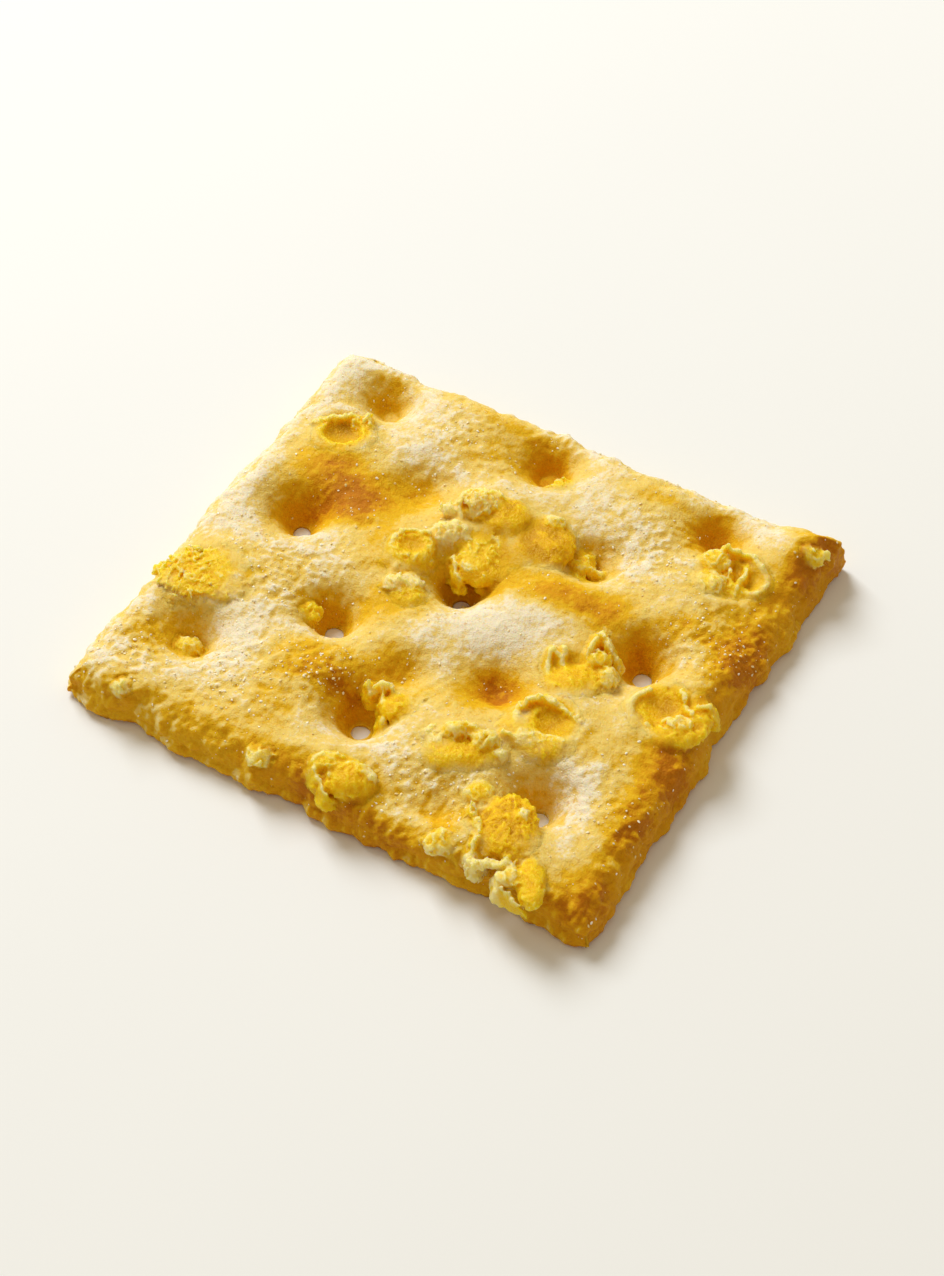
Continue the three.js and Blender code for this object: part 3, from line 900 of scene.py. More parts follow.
class Strokes:
    """Works on the cells round one place on the crust."""

    def __init__(self, at, level, seed):
        self.at, self.level = at, level
        self.dice = np.random.default_rng(seed)

    def seen(self, across, away, up):
        """The true place, across and away, of a point that is seen at a place and stands up so far."""
        return across, away - LEAN * SQUAT * up, SQUAT * up

    def window(self, places, reach):
        """Takes the cells round some places: where they lie, and a part of the uneven patch for them."""
        frame_x, frame_y = np.array(self.at)[:, None] + FLAT_AXES.T @ np.array(places).T[:2]
        far = reach + STROKE_MARGIN
        i0, i1 = np.searchsorted(cell_x, [frame_x.min() - far, frame_x.max() + far])
        j0, j1 = np.searchsorted(cell_y, [frame_y.min() - far, frame_y.max() + far])
        self.here = (slice(i0, i1), slice(j0, j1))
        x, y = cell_x[i0:i1, None] - self.at[0], cell_y[None, j0:j1] - self.at[1]
        self.u, self.v = x * ACROSS[0] + y * ACROSS[1], x * AWAY[0] + y * AWAY[1]
        self.w = cell_z - np.float32(self.level)
        i, j = self.dice.integers(0, [PATCH - (i1 - i0) + 1, PATCH - (j1 - j0) + 1])
        part = (slice(i, i + i1 - i0), slice(j, j + j1 - j0))
        self.broad, self.fine, self.knobs, self.tears = (
            patch[part] for patch in (broad_patch, fine_patch, knob_patch, tear_patch)
        )

    def add(self, shape, blend, pale):
        """Joins a shape to the corn, and gives it its paleness."""
        distance, tint = corn_distance[self.here], corn_pale[self.here]
        share = np.clip(0.5 + 0.5 * (distance - shape) / blend, 0, 1)
        tint += (pale - tint) * share
        distance += (shape - distance) * share - blend * share * (1 - share)

    def ball(self, middle, half, turn):
        """Distance from a stretched ball, turned about the upright."""
        c, s = math.cos(math.radians(turn)), math.sin(math.radians(turn))
        a, b, w = self.u - middle[0], self.v - middle[1], self.w - middle[2]
        a, b = a * c + b * s, b * c - a * s
        flat = (a / half[0]) ** 2 + (b / half[1]) ** 2
        far = np.sqrt(flat[:, :, None] + (w / half[2]) ** 2)
        flat = (a / half[0] ** 2) ** 2 + (b / half[1] ** 2) ** 2
        slope = np.sqrt(flat[:, :, None] + (w / half[2] ** 2) ** 2)
        return far * (far - 1) / np.maximum(slope, 1e-3)


print("a point 1 mm up is seen", round(LEAN, 2), "mm further away")

# %% Lumps, hollows and torn edges
CORN_BLEND, FIN_BLEND = 0.4, 0.2  # how softly lumps and torn edges run into the rest
HOLLOW_DEPTH = 0.6
INSIDE_PALE, EDGE_PALE = 0.3, 0.8  # paleness of hollows, painted as a glow, and of torn edges
FIN_FLARE, FIN_FADE, FIN_DEPTH = 0.42, 0.35, 1.6  # how a torn edge widens, darkens and ends downwards


class Kernel(Strokes):
    """A piece of sweetcorn, built up from lumps, hollows and torn edges."""

    def lump(self, seen, half, pale=0.0, crag=0.12, knob=0.0, torn=None, turn=0):
        """Adds flesh, craggy, knobbly or torn open."""
        middle = self.seen(*seen)
        half = (half[0], half[1], SQUAT * half[2])
        self.window([middle], max(half[:2]))
        shape = self.ball(middle, half, turn) + crag * (self.broad + 0.8 * self.fine)
        torn = 0.2 + 0.2 * pale if torn is None else torn
        shape += knob * self.knobs - torn * self.tears
        edges = np.clip(3 * torn, 0, 1) * self.tears
        self.add(shape, CORN_BLEND, pale + edges * max(EDGE_PALE - pale, 0))

    def hollow(self, seen, half, turn=0):
        """Takes flesh away and leaves a golden inside, painted paler as a glow."""
        middle = self.seen(*seen)
        half = (half[0], half[1], HOLLOW_DEPTH * half[2])
        self.window([middle], max(half[:2]))
        cut = -self.ball(middle, half, turn) + 0.06 * self.broad
        distance, tint = corn_distance[self.here], corn_pale[self.here]
        tint += (INSIDE_PALE - tint) * np.clip(0.5 + 0.5 * (cut - distance) / FIN_BLEND, 0, 1)
        np.maximum(distance, cut, out=distance)

    def fin(self, seen, thick=0.25, jag=0.2):
        """Adds a torn edge that stands up along a line and widens towards its foot."""
        line = [self.seen(*point) for point in seen]
        self.window(line, thick)
        near, top = np.full(self.u.shape, FAR), np.zeros(self.u.shape)
        for (u0, v0, low), (u1, v1, high) in zip(line, line[1:]):
            du, dv = u1 - u0, v1 - v0
            along = np.clip(((self.u - u0) * du + (self.v - v0) * dv) / (du**2 + dv**2), 0, 1)
            far = np.hypot(self.u - u0 - along * du, self.v - v0 - along * dv)
            top = np.where(far < near, low + along * (high - low), top)
            near = np.minimum(near, far)
        below = top[:, :, None] + jag * (self.broad + self.fine + 2 * self.tears - 0.6) - self.w
        half = thick / 4 + 0.1 * (self.broad + self.fine) + FIN_FLARE * np.clip(below, 0, 2)
        blade = np.maximum(near[:, :, None] - half, np.maximum(-below, below - FIN_DEPTH))
        fading = np.exp(-((np.clip(below, 0, None) / FIN_FADE) ** 2))
        self.add(blade, FIN_BLEND, np.maximum(corn_pale[self.here], EDGE_PALE * fading))


# %% Kernels behind the middle
CORN_LOW = 0.2  # how far the corn sank into the dough
kernels = []


def kernel(name):
    """Starts the kernel of a nest, level with the crust round it."""
    x, y, _, _, dip = NESTS[name]
    kernels.append(Kernel((x, y), float(crust_height(x, y)) + dip - CORN_LOW, len(kernels)))
    return kernels[-1]


stub = kernel("stub")
stub.lump((1.5, -0.8, 0.0), (2.2, 1.8, 1.2), -0.4)
stub.lump((-0.5, 0.8, 0.7), (2.0, 1.4, 1.5), 0.8, knob=0.2)
stub.lump((-3.3, 0.3, 0.4), (0.6, 0.5, 0.5), 1.0, knob=0.2)
stub.lump((-3.2, -2.2, 0.2), (1.3, 0.8, 0.7), 0.9, knob=0.3)
stub.hollow((-2.1, 0.5, 1.3), (0.5, 0.8, 0.5))
stub.fin([(-2.2, -0.8, 0.5), (-2.4, 0.6, 1.3), (-2.1, 1.9, 2.0), (-1.4, 2.6, 2.2)], 0.3, 0.05)

golden_half = kernel("golden half")
golden_half.lump((-2.4, 0.2, 0.2), (1.7, 2.6, 1.1), -0.5)
golden_half.lump((0.3, 0.0, 0.3), (2.2, 2.4, 1.3), -0.5)
golden_half.lump((-1.2, 2.8, 0.4), (1.0, 0.5, 0.5), 0.7, knob=0.1)
golden_half.lump((0.8, 2.5, 1.0), (0.75, 0.5, 0.9), 0.7)
golden_half.fin([(0.1, 3.3, 1.5), (0.6, 3.4, 1.6), (1.3, 2.9, 1.4)])

folded = kernel("folded")
folded.lump((-0.1, 0.5, 0.5), (1.9, 2.0, 1.2), 0.35, knob=0.1)
folded.lump((0.2, -1.4, 0.2), (1.9, 1.3, 1.0), -0.3)
folded.lump((-2.5, 2.4, 0.6), (1.4, 1.0, 0.9), 0.9, knob=0.25)
folded.lump((-0.8, -0.8, 1.0), (0.55, 0.5, 0.5), 0.9)
folded.fin([(-1.7, 1.9, 1.5), (-0.9, 2.4, 1.7), (-0.1, 2.4, 1.6)], 0.4)
folded.fin([(1.0, 2.6, 1.8), (1.5, 2.4, 1.8), (1.5, 1.2, 1.2)], 0.3)
folded.fin([(-2.2, 0.5, 1.2), (-2.0, -1.1, 0.9), (-1.6, -1.9, 0.6)])
folded.fin([(0.2, -1.8, 0.8), (0.7, -1.5, 0.9), (1.0, -1.8, 0.8)])
print(len(kernels), "kernels")

# %% Kernels round the middle pit
open_cup = kernel("open cup")
open_cup.lump((0.0, 0.3, 0.6), (1.9, 1.7, 1.3), 0.3, knob=0.1)
open_cup.lump((0.2, -1.2, 0.0), (1.5, 1.0, 1.0))
open_cup.lump((3.2, 1.9, 0.5), (1.5, 1.0, 0.9), 0.9, knob=0.25)
open_cup.lump((-1.8, -1.2, 0.2), (0.4, 0.35, 0.4), 1.0, knob=0.2)
open_cup.lump((-1.2, -1.9, 0.1), (0.35, 0.3, 0.4), 1.0, knob=0.2)
open_cup.hollow((0.1, 0.9, 1.7), (1.2, 1.0, 0.6))
back_of_cup = [(-1.4, -0.8, 0.8), (-1.7, 0.9, 1.4), (-1.2, 2.0, 1.8), (-0.6, 2.5, 2.0), (0.2, 2.6, 2.0)]
open_cup.fin([*back_of_cup, (0.9, 2.3, 1.8), (1.5, 2.3, 1.7), (1.5, 1.2, 1.3)], 0.45, 0.15)
open_cup.fin([(-0.4, -0.2, 1.0), (0.3, -0.1, 1.1), (0.9, -0.4, 1.0), (1.4, 0.3, 1.2)])

chunk = kernel("chunk")
chunk.lump((0.2, -0.7, 0.3), (1.1, 0.9, 1.0))
chunk.lump((-0.3, 0.7, 0.7), (1.5, 0.9, 1.0), 0.9, knob=0.2)
chunk.fin([(1.0, 1.0, 1.2), (1.1, 0.0, 0.9), (1.2, -1.2, 0.4)])

scraps = kernel("scraps")
scraps.lump((0.4, 1.1, 0.4), (1.4, 1.2, 0.9), 0.3, knob=0.15)
scraps.lump((-0.5, -0.9, 0.1), (1.4, 1.0, 0.8), 0.2, knob=0.1)
scraps.lump((1.3, -1.8, -0.6), (0.7, 0.6, 0.8), 0.4)
scraps.fin([(-1.6, 0.3, 1.0), (-1.3, 1.0, 1.2), (-0.7, 1.5, 1.3), (-0.3, 2.2, 1.4)], 0.35, 0.2)
scraps.fin([(0.9, 0.9, 0.9), (1.6, 0.6, 0.9), (2.2, 0.3, 0.7)], 0.35, 0.2)
print(len(kernels), "kernels")

# %% Kernels at the right corner and side
rose = kernel("rose")
rose.lump((0.2, 0.3, -0.3), (3.0, 2.3, 1.0))
rose.lump((-0.9, 2.1, 0.9), (1.1, 1.1, 1.0), 0.5)
rose.lump((-1.5, -0.4, 0.6), (1.3, 1.1, 0.9), 0.7)
rose.hollow((0.9, 0.7, 0.6), (0.75, 1.2, 0.9))
rose.hollow((2.1, 0.0, 0.4), (1.0, 1.2, 0.9))
rose.fin([(-2.2, 0.2, 1.0), (-1.1, 0.8, 1.3), (-0.4, 0.2, 1.1)], 0.24, 0.05)
rose.fin([(0.2, 2.2, 1.4), (0.2, 0.8, 1.2), (0.0, 0.0, 0.9)])
rose.fin([(1.7, 1.5, 1.3), (1.3, 0.3, 1.1), (0.9, -0.1, 1.0), (0.7, -0.8, 0.8), (0.5, -1.3, 0.6)])
rose.fin([(1.1, -1.1, 0.7), (2.2, -1.35, 0.7), (2.8, -0.8, 0.8), (3.2, -0.5, 0.8), (3.3, 0.3, 0.9)])
rose.fin([(3.3, 0.3, 0.9), (3.1, 1.2, 1.1), (2.6, 1.9, 1.3), (2.3, 2.7, 1.5)], 0.3)
rose.fin([(-1.5, 3.3, 1.7), (-0.5, 3.3, 1.8), (0.1, 4.0, 2.4), (0.6, 3.6, 2.0), (2.3, 2.7, 1.5)], 0.3)

crater = kernel("crater")
crater.lump((0.2, 0.3, -0.6), (3.0, 2.5, 1.0))
crater.lump((2.7, -0.6, 0.2), (0.9, 1.8, 0.7))
crater.lump((0.8, -2.4, 0.0), (2.0, 1.0, 0.7))
crater.lump((1.0, -1.2, 0.6), (1.0, 0.5, 0.6), 0.8)
crater.hollow((-0.4, 1.0, 0.9), (1.8, 1.7, 1.3))
left_lip = [(-1.3, 2.6, 0.9), (-2.3, 2.0, 0.9), (-2.9, 1.2, 0.8), (-2.9, 0.2, 0.7), (-2.5, -1.2, 0.5)]
crater.fin(left_lip, 0.7, 0.05)
right_lip = [(1.2, 2.5, 1.3), (1.5, 1.7, 1.3), (1.5, 1.0, 1.2), (1.9, 0.3, 1.2), (2.1, -0.2, 1.1)]
crater.fin([*right_lip, (2.2, -0.8, 1.0)], 0.3, 0.25)
crater.fin([(2.4, 0.7, 1.3), (3.0, 0.7, 1.4), (3.5, 1.0, 1.6), (3.7, -0.1, 1.0)])
crater.fin([(-1.7, -0.9, 0.7), (-1.2, -1.7, 0.5)])
crater.fin([(-0.7, -1.2, 0.8), (-0.2, -1.6, 0.7), (0.1, -1.7, 0.7), (0.4, -1.5, 0.8)])
inner_lip = [(-0.4, -0.8, 0.6), (0.1, -0.4, 0.8), (0.6, -0.5, 0.9), (1.2, -0.3, 1.0), (1.8, -0.4, 1.1)]
crater.fin(inner_lip, 0.24, 0.25)
print(len(kernels), "kernels")

# %% Kernels at the open pit on the right
splinters = kernel("splinters")
splinters.lump((0.4, -0.8, 0.2), (2.2, 1.5, 0.9))
splinters.lump((2.6, 1.4, 0.8), (0.9, 0.7, 1.0), 0.3)
splinters.lump((3.2, -0.3, 0.6), (0.75, 0.8, 0.8), 0.6)
left_slab = [(-1.8, 0.2, 0.6), (-1.7, 1.6, 1.2), (-1.3, 3.0, 2.2), (-0.6, 2.0, 1.5), (-0.4, 0.9, 0.9)]
splinters.fin(left_slab, 0.5, 0.05)
splinters.fin([(-0.4, 2.9, 1.6), (-0.35, 2.2, 1.2)])
right_slab = [(1.6, 1.8, 1.1), (1.7, 2.6, 1.6), (2.1, 3.5, 2.1), (2.7, 4.7, 2.8), (3.0, 4.0, 2.4)]
splinters.fin([*right_slab, (3.5, 2.7, 1.7), (3.9, 1.7, 1.1)], 0.5)
splinters.fin([(1.9, 2.3, 1.4), (2.4, 2.6, 1.5), (3.0, 1.9, 1.2)])
splinters.fin([(2.6, 0.5, 1.1), (3.1, 0.7, 1.2), (3.6, 0.8, 1.2)])
splinters.fin([(0.7, 0.9, 0.7), (1.6, 1.2, 0.9)])
splinters.fin([(0.9, 0.4, 0.6), (1.6, 0.3, 0.6)])
splinters.fin([(1.9, -0.2, 0.6), (2.0, -0.9, 0.4)])

tilted_cup = kernel("tilted cup")
tilted_cup.lump((-0.2, 0.2, -0.1), (2.2, 2.0, 0.9))
tilted_cup.lump((-0.6, -2.5, 0.1), (1.7, 0.8, 0.6))
tilted_cup.lump((-3.2, -0.3, 0.1), (1.1, 0.9, 0.6), 0.1)
tilted_cup.lump((-0.1, -1.7, 0.4), (1.1, 0.5, 0.5), 0.6)
tilted_cup.lump((-2.1, -1.3, 0.5), (1.0, 0.8, 0.6), 0.8)
tilted_cup.hollow((0.0, 0.4, 0.7), (1.5, 1.4, 0.8))
back_wall = [(-2.6, 2.2, 1.2), (-1.6, 3.0, 1.7), (-0.5, 3.0, 1.7), (0.5, 2.3, 1.4), (1.1, 1.6, 1.1)]
tilted_cup.fin([*back_wall, (2.1, 0.4, 0.6)], 0.7)
tilted_cup.fin([(-2.9, 1.9, 1.0), (-2.9, 0.6, 0.8), (-2.3, 0.4, 0.8)], 0.35, 0.15)
tilted_cup.fin([(-1.5, -0.9, 0.8), (-0.7, -1.0, 0.8), (0.2, -1.2, 0.8), (0.7, -1.5, 0.7), (1.0, -1.8, 0.6)])
print(len(kernels), "kernels")

# %% Kernels in front of the middle
cluster = kernel("cluster")
cluster.lump((-0.8, -0.7, 0.1), (2.7, 1.3, 0.9))
cluster.lump((-1.2, 1.9, 1.2), (0.85, 0.6, 1.0), 0.5)
cluster.lump((0.1, 1.8, 0.9), (0.55, 0.5, 0.7), 0.7)
cluster.lump((1.2, 0.8, 0.8), (1.0, 0.8, 0.9), 0.7)
cluster.lump((2.4, -0.7, 0.3), (0.4, 0.5, 0.5), 0.9)
cluster.lump((-3.2, 1.6, 0.2), (0.4, 0.35, 0.4), 0.9, knob=0.2)
cluster.lump((-2.7, 0.7, 0.3), (0.5, 0.4, 0.4), 0.9, knob=0.2)
cluster.hollow((1.4, 0.95, 1.3), (0.35, 0.15, 0.4), -50)
cluster.fin([(2.6, 1.8, 0.9), (3.6, 1.3, 0.7)])
cluster.fin([(-1.5, 0.9, 0.9), (-1.4, 0.5, 0.7), (-1.4, -0.1, 0.5)])
cluster.fin([(-2.1, 2.0, 0.8), (-2.1, 1.4, 0.5)])

ragged = kernel("ragged")
ragged.lump((-0.2, 0.6, 0.5), (1.1, 1.3, 0.9))
ragged.lump((1.8, 0.4, 0.3), (1.2, 1.0, 0.6), 0.8, knob=0.3)
ragged.fin([(-1.3, 3.2, 1.9), (-1.2, 1.0, 1.0), (-1.2, -0.8, 0.3)], 0.35)
ragged.fin([(-2.4, 3.4, 1.9), (-2.2, 2.2, 1.0)], 0.3)
flap = [(-1.9, 3.0, 1.8), (-1.2, 3.3, 2.0), (-0.7, 3.0, 1.8), (-0.3, 2.4, 1.5), (0.2, 2.0, 1.2)]
ragged.fin([*flap, (0.9, 1.7, 0.9), (1.6, 1.6, 0.8), (2.1, 1.7, 0.7)], 0.3)
print(len(kernels), "kernels")

# %% Kernels on the front rim
rim_kernel = kernel("rim kernel")
rim_kernel.lump((0.5, -0.3, 0.4), (1.3, 1.2, 0.9))
rim_kernel.lump((0.5, -1.5, -0.3), (1.8, 1.0, 1.0))
rim_kernel.lump((-1.1, 0.8, 0.5), (1.1, 0.6, 0.8), 0.4)
rim_kernel.lump((1.6, 0.2, 0.6), (0.3, 0.3, 0.3), 1.0)
rim_kernel.lump((2.1, -0.5, 0.4), (0.35, 0.3, 0.3), 1.0)
torn_top = [(-2.3, 1.2, 0.9), (-2.1, 1.7, 1.2), (-1.5, 1.7, 1.2), (-1.0, 1.85, 1.3), (-0.4, 1.8, 1.3)]
rim_kernel.fin([*torn_top, (0.05, 1.6, 1.2)])
left_tear = [(-2.2, 0.6, 0.9), (-2.1, -0.1, 0.7), (-1.7, -0.7, 0.6), (-1.5, -1.8, 0.3), (-1.2, -2.1, 0.2)]
rim_kernel.fin(left_tear)
rim_kernel.fin([(-1.0, 0.6, 0.9), (-0.6, 0.75, 1.0), (-0.3, 0.95, 1.1)])
rim_kernel.fin([(-0.85, 0.3, 0.9), (-0.95, -0.4, 0.7)])
rim_kernel.fin([(0.4, 0.9, 1.1), (1.05, 1.0, 1.1), (1.4, 0.4, 0.9), (1.7, -0.3, 0.7)])

half_kernel = kernel("half kernel")
half_kernel.lump((0.9, 0.2, 0.2), (2.1, 2.9, 1.0), -0.3, torn=0.25)
half_kernel.lump((-1.6, 3.4, 0.3), (1.0, 0.8, 0.6), 0.3)
half_kernel.lump((-0.6, -3.4, 0.3), (1.5, 0.4, 0.4), 0.9, knob=0.3)
half_kernel.lump((1.9, 1.4, 1.2), (0.25, 0.3, 0.25), 1.0)
ridge = [(-2.1, 2.3, 1.0), (-1.9, 1.5, 1.1), (-1.6, 0.6, 1.1), (-1.7, -0.5, 1.0), (-2.0, -1.3, 0.9)]
half_kernel.fin([*ridge, (-2.2, -2.2, 0.7), (-1.9, -3.2, 0.5)], 0.5, 0.3)

rim_flap = kernel("rim flap")
rim_flap.lump((1.3, -2.0, 0.2), (1.0, 2.2, 0.8))
rim_flap.lump((-0.3, -1.2, 0.5), (0.9, 0.7, 0.7), 0.7)
rim_flap.fin([(-1.2, -0.6, 0.9), (-1.2, -1.9, 0.5)])
rim_flap.fin([(-1.1, -2.0, 0.5), (-0.4, -2.5, 0.4), (-0.1, -3.2, 0.3), (0.3, -3.8, 0.2)])
print(len(kernels), "kernels")

# %% Kernels along the left
corner_cup = kernel("corner cup")
corner_cup.lump((0.1, -0.5, 0.1), (2.5, 2.1, 1.1), 0.1)
corner_cup.hollow((-0.1, 0.2, 1.0), (1.8, 1.5, 1.6))
near_wall = [(-1.8, 0.9, 0.9), (-2.1, 0.3, 0.8), (-1.95, -0.3, 0.7), (-2.05, -0.9, 0.6), (-2.15, -1.3, 0.5)]
corner_cup.fin(near_wall)
front_lip = [(-2.15, -1.3, 0.5), (-1.9, -1.7, 0.5), (-1.4, -1.6, 0.5), (-0.9, -1.4, 0.6), (-0.3, -1.5, 0.6)]
corner_cup.fin([*front_lip, (0.0, -1.75, 0.5), (0.4, -1.5, 0.6), (0.6, -1.2, 0.6)], 0.3)
far_wall = [(-2.4, 1.5, 0.9), (-1.9, 1.7, 1.0), (-1.3, 1.9, 1.2), (-0.5, 2.0, 1.2), (0.3, 2.0, 1.2)]
corner_cup.fin([*far_wall, (0.7, 2.3, 1.4), (1.2, 2.0, 1.3)], 0.5, 0.2)
corner_cup.fin([(0.8, 1.7, 1.2), (0.8, 1.0, 0.8), (1.6, 0.9, 0.8)])
corner_cup.fin([(1.1, 0.3, 0.6), (1.7, 0.1, 0.6), (1.8, 0.8, 0.8)])
corner_cup.fin([(1.8, 1.5, 1.1), (2.1, 2.3, 1.6), (2.25, 1.8, 1.3), (2.3, 0.7, 0.8)])

rippled = kernel("rippled")
rippled.lump((-0.9, -0.2, 0.2), (2.3, 2.2, 0.5), 0.3, torn=0.5)
rippled.lump((1.7, -0.8, 0.1), (2.1, 2.0, 0.6), torn=0.3)
rippled.lump((1.2, 1.0, 0.2), (1.3, 0.8, 0.5), 0.5)
for cell_wall in (
    [(-2.8, 1.5, 0.6), (-1.9, 1.0, 0.6), (-1.0, 0.9, 0.6), (-0.1, 1.3, 0.7)],
    [(-2.9, -0.5, 0.4), (-2.2, 0.6, 0.6), (-1.7, -0.2, 0.6), (-0.7, -0.3, 0.7), (0.1, 0.4, 0.8)],
    [(-1.7, 1.8, 0.6), (-1.8, 0.9, 0.6)],
    [(-0.8, 1.8, 0.7), (-1.0, 0.9, 0.6)],
    [(-0.7, -1.0, 0.7), (-0.3, -2.0, 0.5), (-0.1, -2.8, 0.2)],
    [(1.2, -0.3, 0.8), (1.7, -0.8, 0.8)],
):
    rippled.fin(cell_wall)

pit_nub = kernel("pit nub")
pit_nub.lump((-0.3, 0.4, 0.6), (1.1, 0.9, 1.2), 0.5, 0.08)
print(len(kernels), "kernels")

# %% Crumbs of corn
CRUMBS = [  # x, y, half size, paleness
    (-10.6, -6.4, 1.0, 0.2),
    (-0.2, 1.7, 0.5, 0.8),
    (1.0, 16.6, 0.9, 0.3),
    (-19.2, -21.3, 0.55, 0.8),
    (-5.7, -21.3, 0.8, 0.6),
    (11.0, -21.3, 1.0, 0.6),
    (23.6, 19.2, 0.9, 0.5),
    (-23.5, -9.0, 0.6, 0.2),
]
for crumb_x, crumb_y, half, pale in CRUMBS:
    crumb = Kernel((crumb_x, crumb_y), float(crust_height(crumb_x, crumb_y)), len(kernels))
    crumb.lump((0.0, 0.0, 0.0), (1.2 * half, 0.9 * half, half), pale, 0.25, 0.3)
    kernels.append(crumb)
print(len(kernels), "kernels with the crumbs")

# %% [markdown]
# ## Setting the corn into the crust
#
# Corn that was pressed into dough has no gap round it. Each column of cells is told how high the crust is
# there, a thin skirt of flesh runs out over the crust, and the corn goes on a little below the top, so
# that no edge of it hangs in the air. Then the skin is laid over all kernels at once.

# %% Height of the crust under the corn
SKIRT, SKIRT_REACH = 0.15, 1.0  # how the flesh runs out into the crust

crust_faces = [face.vertices for face in crust.data.polygons]
crust_tree = BVHTree.FromPolygons([point.co for point in crust.data.vertices], crust_faces)
ground = np.zeros(corn_distance.shape[:2], np.float32)
for i, j in np.argwhere(corn_distance.min(axis=2) < SKIRT_REACH):
    hit = crust_tree.ray_cast(Vector((cell_x[i], cell_y[j], FAR)) * MM, Vector((0, 0, -1)))[0]
    ground[i, j] = hit.z / MM if hit else -FAR
print("crust under the corn up to", round(float(ground.max()), 2), "mm")

# %% Skin over the corn
CORN_SUNK = 0.6  # how far the corn goes on below the top of the crust
LARGER_FACES = 0.6  # how freely smooth places may have larger faces, from 0 to 1

above = cell_z - ground[:, :, None]
skirt = above + SKIRT
share = np.clip(0.5 + 0.5 * (skirt - corn_distance) / SKIRT_REACH, 0, 1)
body = skirt + (corn_distance - skirt) * share - SKIRT_REACH * share * (1 - share)
lowest = np.maximum(crust_height(*np.meshgrid(cell_x, cell_y, indexing="ij")) - CORN_SUNK, 2 * CORN_CELL)
under_corn = lowest[:, :, None] - cell_z
body = np.maximum(np.maximum(body, corn_distance - SKIRT_REACH), under_corn).astype(np.float32)
grid = openvdb.FloatGrid(FAR)
grid.copyFromArray(body)
corn_points, corn_triangles, corn_quads = grid.convertToPolygons(0.0, LARGER_FACES)
cell_of = np.clip(np.rint(corn_points).astype(int), 0, np.subtract(body.shape, 1))
corn_points = corn_points * CORN_CELL + [cell_x[0], cell_y[0], cell_z[0]]
corn = piece_from("corn", corn_points, corn_triangles.tolist() + corn_quads.tolist())
print("corn", len(kernels), "kernels", len(corn_triangles) + 2 * len(corn_quads), "triangles")

# %% [markdown]
# ## The corn's finish
#
# Baked sweetcorn is a glossy golden yellow that light goes into, and wherever its skin is torn or its
# flesh stands up in crumbs, it is pale. Its raised places are painted paler still, as painted highlights,
# and its sunken ones darker, as painted shade, while the insides of its hollows are painted paler, as a
# painted glow. Where it runs out into the crust no line can be seen. So its foot is blended into the
# crust's own shader, with values that are carried over from the nearest points of the crust. The juice
# has stained the crust round it too.

# %% Juice on the crust
STAIN_REACH = 0.8

cells = (cell_x, cell_y, cell_z)
near_corn = np.stack([np.searchsorted(cells[axis], place_mm[:, axis]) for axis in range(3)], -1)
near_corn = np.clip(near_corn, 0, np.subtract(corn_distance.shape, 1))
stain = np.exp(-np.clip(corn_distance[tuple(near_corn.T)], 0, FAR) / STAIN_REACH)
paint(crust.data, "stain", stain)

# %% Values for the corn
FOOT_LOW, FOOT_HIGH = 0.15, 0.45  # between these heights over the crust the foot ends
# How much proud places are painted paler, as highlights, and sunken ones darker, as shade.
PALE_WHERE_PROUD = 3.0

nearest_point = KDTree(len(place_mm))
for number, point in enumerate(place_mm):
    nearest_point.insert(point, number)
nearest_point.balance()
nearest = [nearest_point.find(point)[1] for point in corn_points]
for name in ("browning_and_shade", "stain"):
    values = np.empty(len(place_mm), np.float32)
    crust.data.attributes[name].data.foreach_get("value", values)
    paint(corn.data, name, values[nearest])
# Painted highlight and shade: proud places are painted paler, sunken ones darker.
pale_cells = corn_pale[tuple(cell_of.T)] + PALE_WHERE_PROUD * proud(corn.data, 6)
paint(corn.data, "pale", np.clip(pale_cells, -1, 1))
height_over_crust = above[tuple(cell_of.T)]
paint(corn.data, "foot", np.clip((FOOT_HIGH - height_over_crust) / (FOOT_HIGH - FOOT_LOW), 0, 1))

# %% Corn finish
DEEP_FLESH, FLESH = (0.64, 0.32, 0.0008), (0.88, 0.52, 0.003)
BRIGHT_FLESH, TORN_EDGE = (0.96, 0.62, 0.018), (0.94, 0.77, 0.38)

corn_finish = Finish("sweetcorn")
pale = corn_finish.painted("pale")
vein = corn_finish.mottle(0.9, 3.0)
colour = corn_finish.mix((pale + vein).between(-0.2, 0.7), DEEP_FLESH, FLESH)
colour = corn_finish.mix(pale.between(0.0, 0.6), colour, BRIGHT_FLESH)
colour = corn_finish.mix(pale.between(0.5, 1.1), colour, TORN_EDGE)
flesh = corn_finish.shader(
    Base_Color=colour,
    Roughness=0.2 + 0.3 * vein,
    Specular_IOR_Level=0.5,
    Specular_Tint=(1.0, 0.75, 0.2, 1.0),
    Normal=corn_finish.bump(corn_finish.mottle(0.24, 4.0), 0.18),
    Subsurface_Weight=0.9,
    Subsurface_Radius=(1.0, 0.95, 0.12),
    Subsurface_Scale=1.2 * MM,
)
foot = {0: corn_finish.painted("foot"), 1: flesh, 2: crust_shader(corn_finish)}
corn_finish.surface(corn_finish.node("ShaderNodeMixShader", {}, foot))
corn.data.materials.append(corn_finish.material)
print("corn finish", len(corn_finish.tree.nodes), "nodes")

# %% [markdown]
# ## Grains
#
# Coarse grains of salt and semolina are baked into the top of the crust, most of them where it is rough.
# They could be instances of one object, but a piece that leaves Blender has to be plain mesh. So one
# small flat shape is repeated in a single mesh, at points of the crust drawn by lot, with better chances
# on rough places.

# %% One grain
GRAIN_DEPTH, GRAIN_HEIGHT = 0.7, 0.45  # beside its width

ball = bmesh.new()
bmesh.ops.create_icosphere(ball, subdivisions=1, radius=1.0)
ball.verts.index_update()
grain_shape = np.array([tuple(vertex.co) for vertex in ball.verts])
grain_faces = np.array([[vertex.index for vertex in face.verts] for face in ball.faces])
ball.free()
print("grain", len(grain_shape), "points", len(grain_faces), "faces")

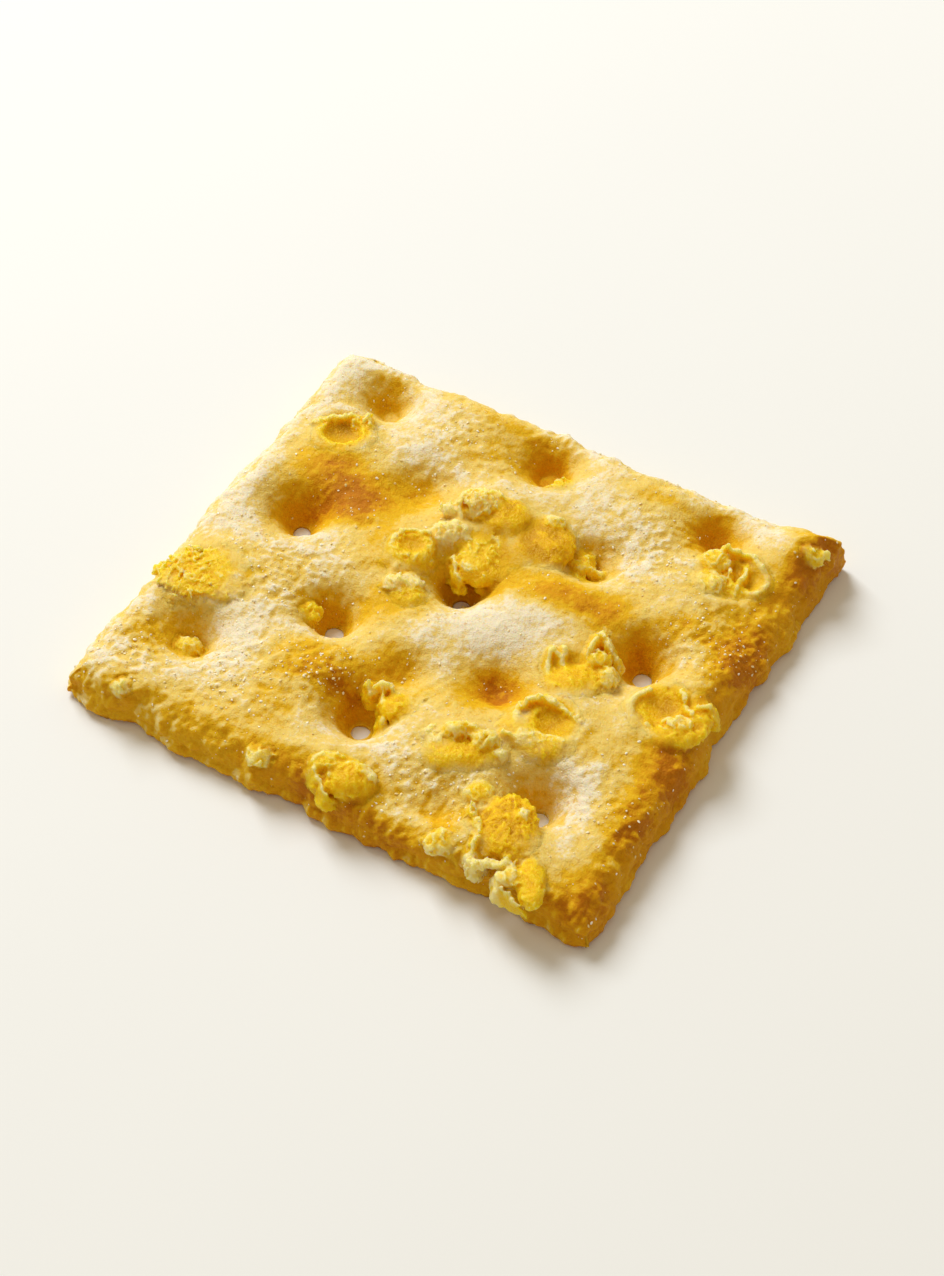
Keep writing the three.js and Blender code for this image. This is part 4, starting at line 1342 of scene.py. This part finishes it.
# %% Grains on the crust
GRAINS = 3000
SMOOTH_CHANCE = 0.12  # of a grain on smooth crust, beside about 1 on rough crust
SMALLEST, SPREAD = 0.05, 0.13  # half widths
TILT, STAND_OUT = 0.25, 0.1  # how far grains lean, and stand out beside their half width

dice = np.random.default_rng(42)
on_top = (outward[:, 2] > 0.25) & (place_mm[:, 2] > 1.0)
chances = on_top * (SMOOTH_CHANCE + grainy(place_mm))
spots = dice.choice(len(chances), GRAINS, p=chances / chances.sum())
upward = outward[spots] + TILT * dice.normal(size=(GRAINS, 3))
upward /= np.linalg.norm(upward, axis=1, keepdims=True)
along = np.cross(upward, dice.normal(size=(GRAINS, 3)))
along /= np.linalg.norm(along, axis=1, keepdims=True)
widths = SMALLEST + SPREAD * dice.random(GRAINS)[:, None] ** 3
axes = np.stack([along, GRAIN_DEPTH * np.cross(upward, along), GRAIN_HEIGHT * upward], 1) * widths[:, None]
middles = place_mm[spots] + STAND_OUT * widths * outward[spots]
grain_points = np.einsum("pj,njk->npk", grain_shape, axes) + middles[:, None]
all_faces = grain_faces + len(grain_shape) * np.arange(GRAINS)[:, None, None]
grains = piece_from("grains", grain_points.reshape(-1, 3), all_faces.reshape(-1, 3).tolist())
grains.data.shade_flat()
print("grains", GRAINS, "with", len(grains.data.polygons), "faces")

# %% Grain finish
SEMOLINA, SALT = (0.88, 0.70, 0.30), (0.96, 0.90, 0.72)

paint(grains.data, "tone", np.repeat(dice.random(GRAINS), len(grain_shape)))
grain_finish = Finish("grains")
colour = grain_finish.mix(grain_finish.painted("tone").between(0.2, 0.8), SEMOLINA, SALT)
grain_finish.surface(grain_finish.shader(Base_Color=colour, Roughness=0.25, Specular_IOR_Level=0.6))
grains.data.materials.append(grain_finish.material)

# %% [markdown]
# ## Pieces on the body
#
# Every piece rides on the one body and stands in for the solid, which is hidden.

# %% Ride and finish
for piece, slot in ((crust, "crust"), (corn, "corn"), (grains, "crust")):
    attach(piece, "root")
    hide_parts("cracker")
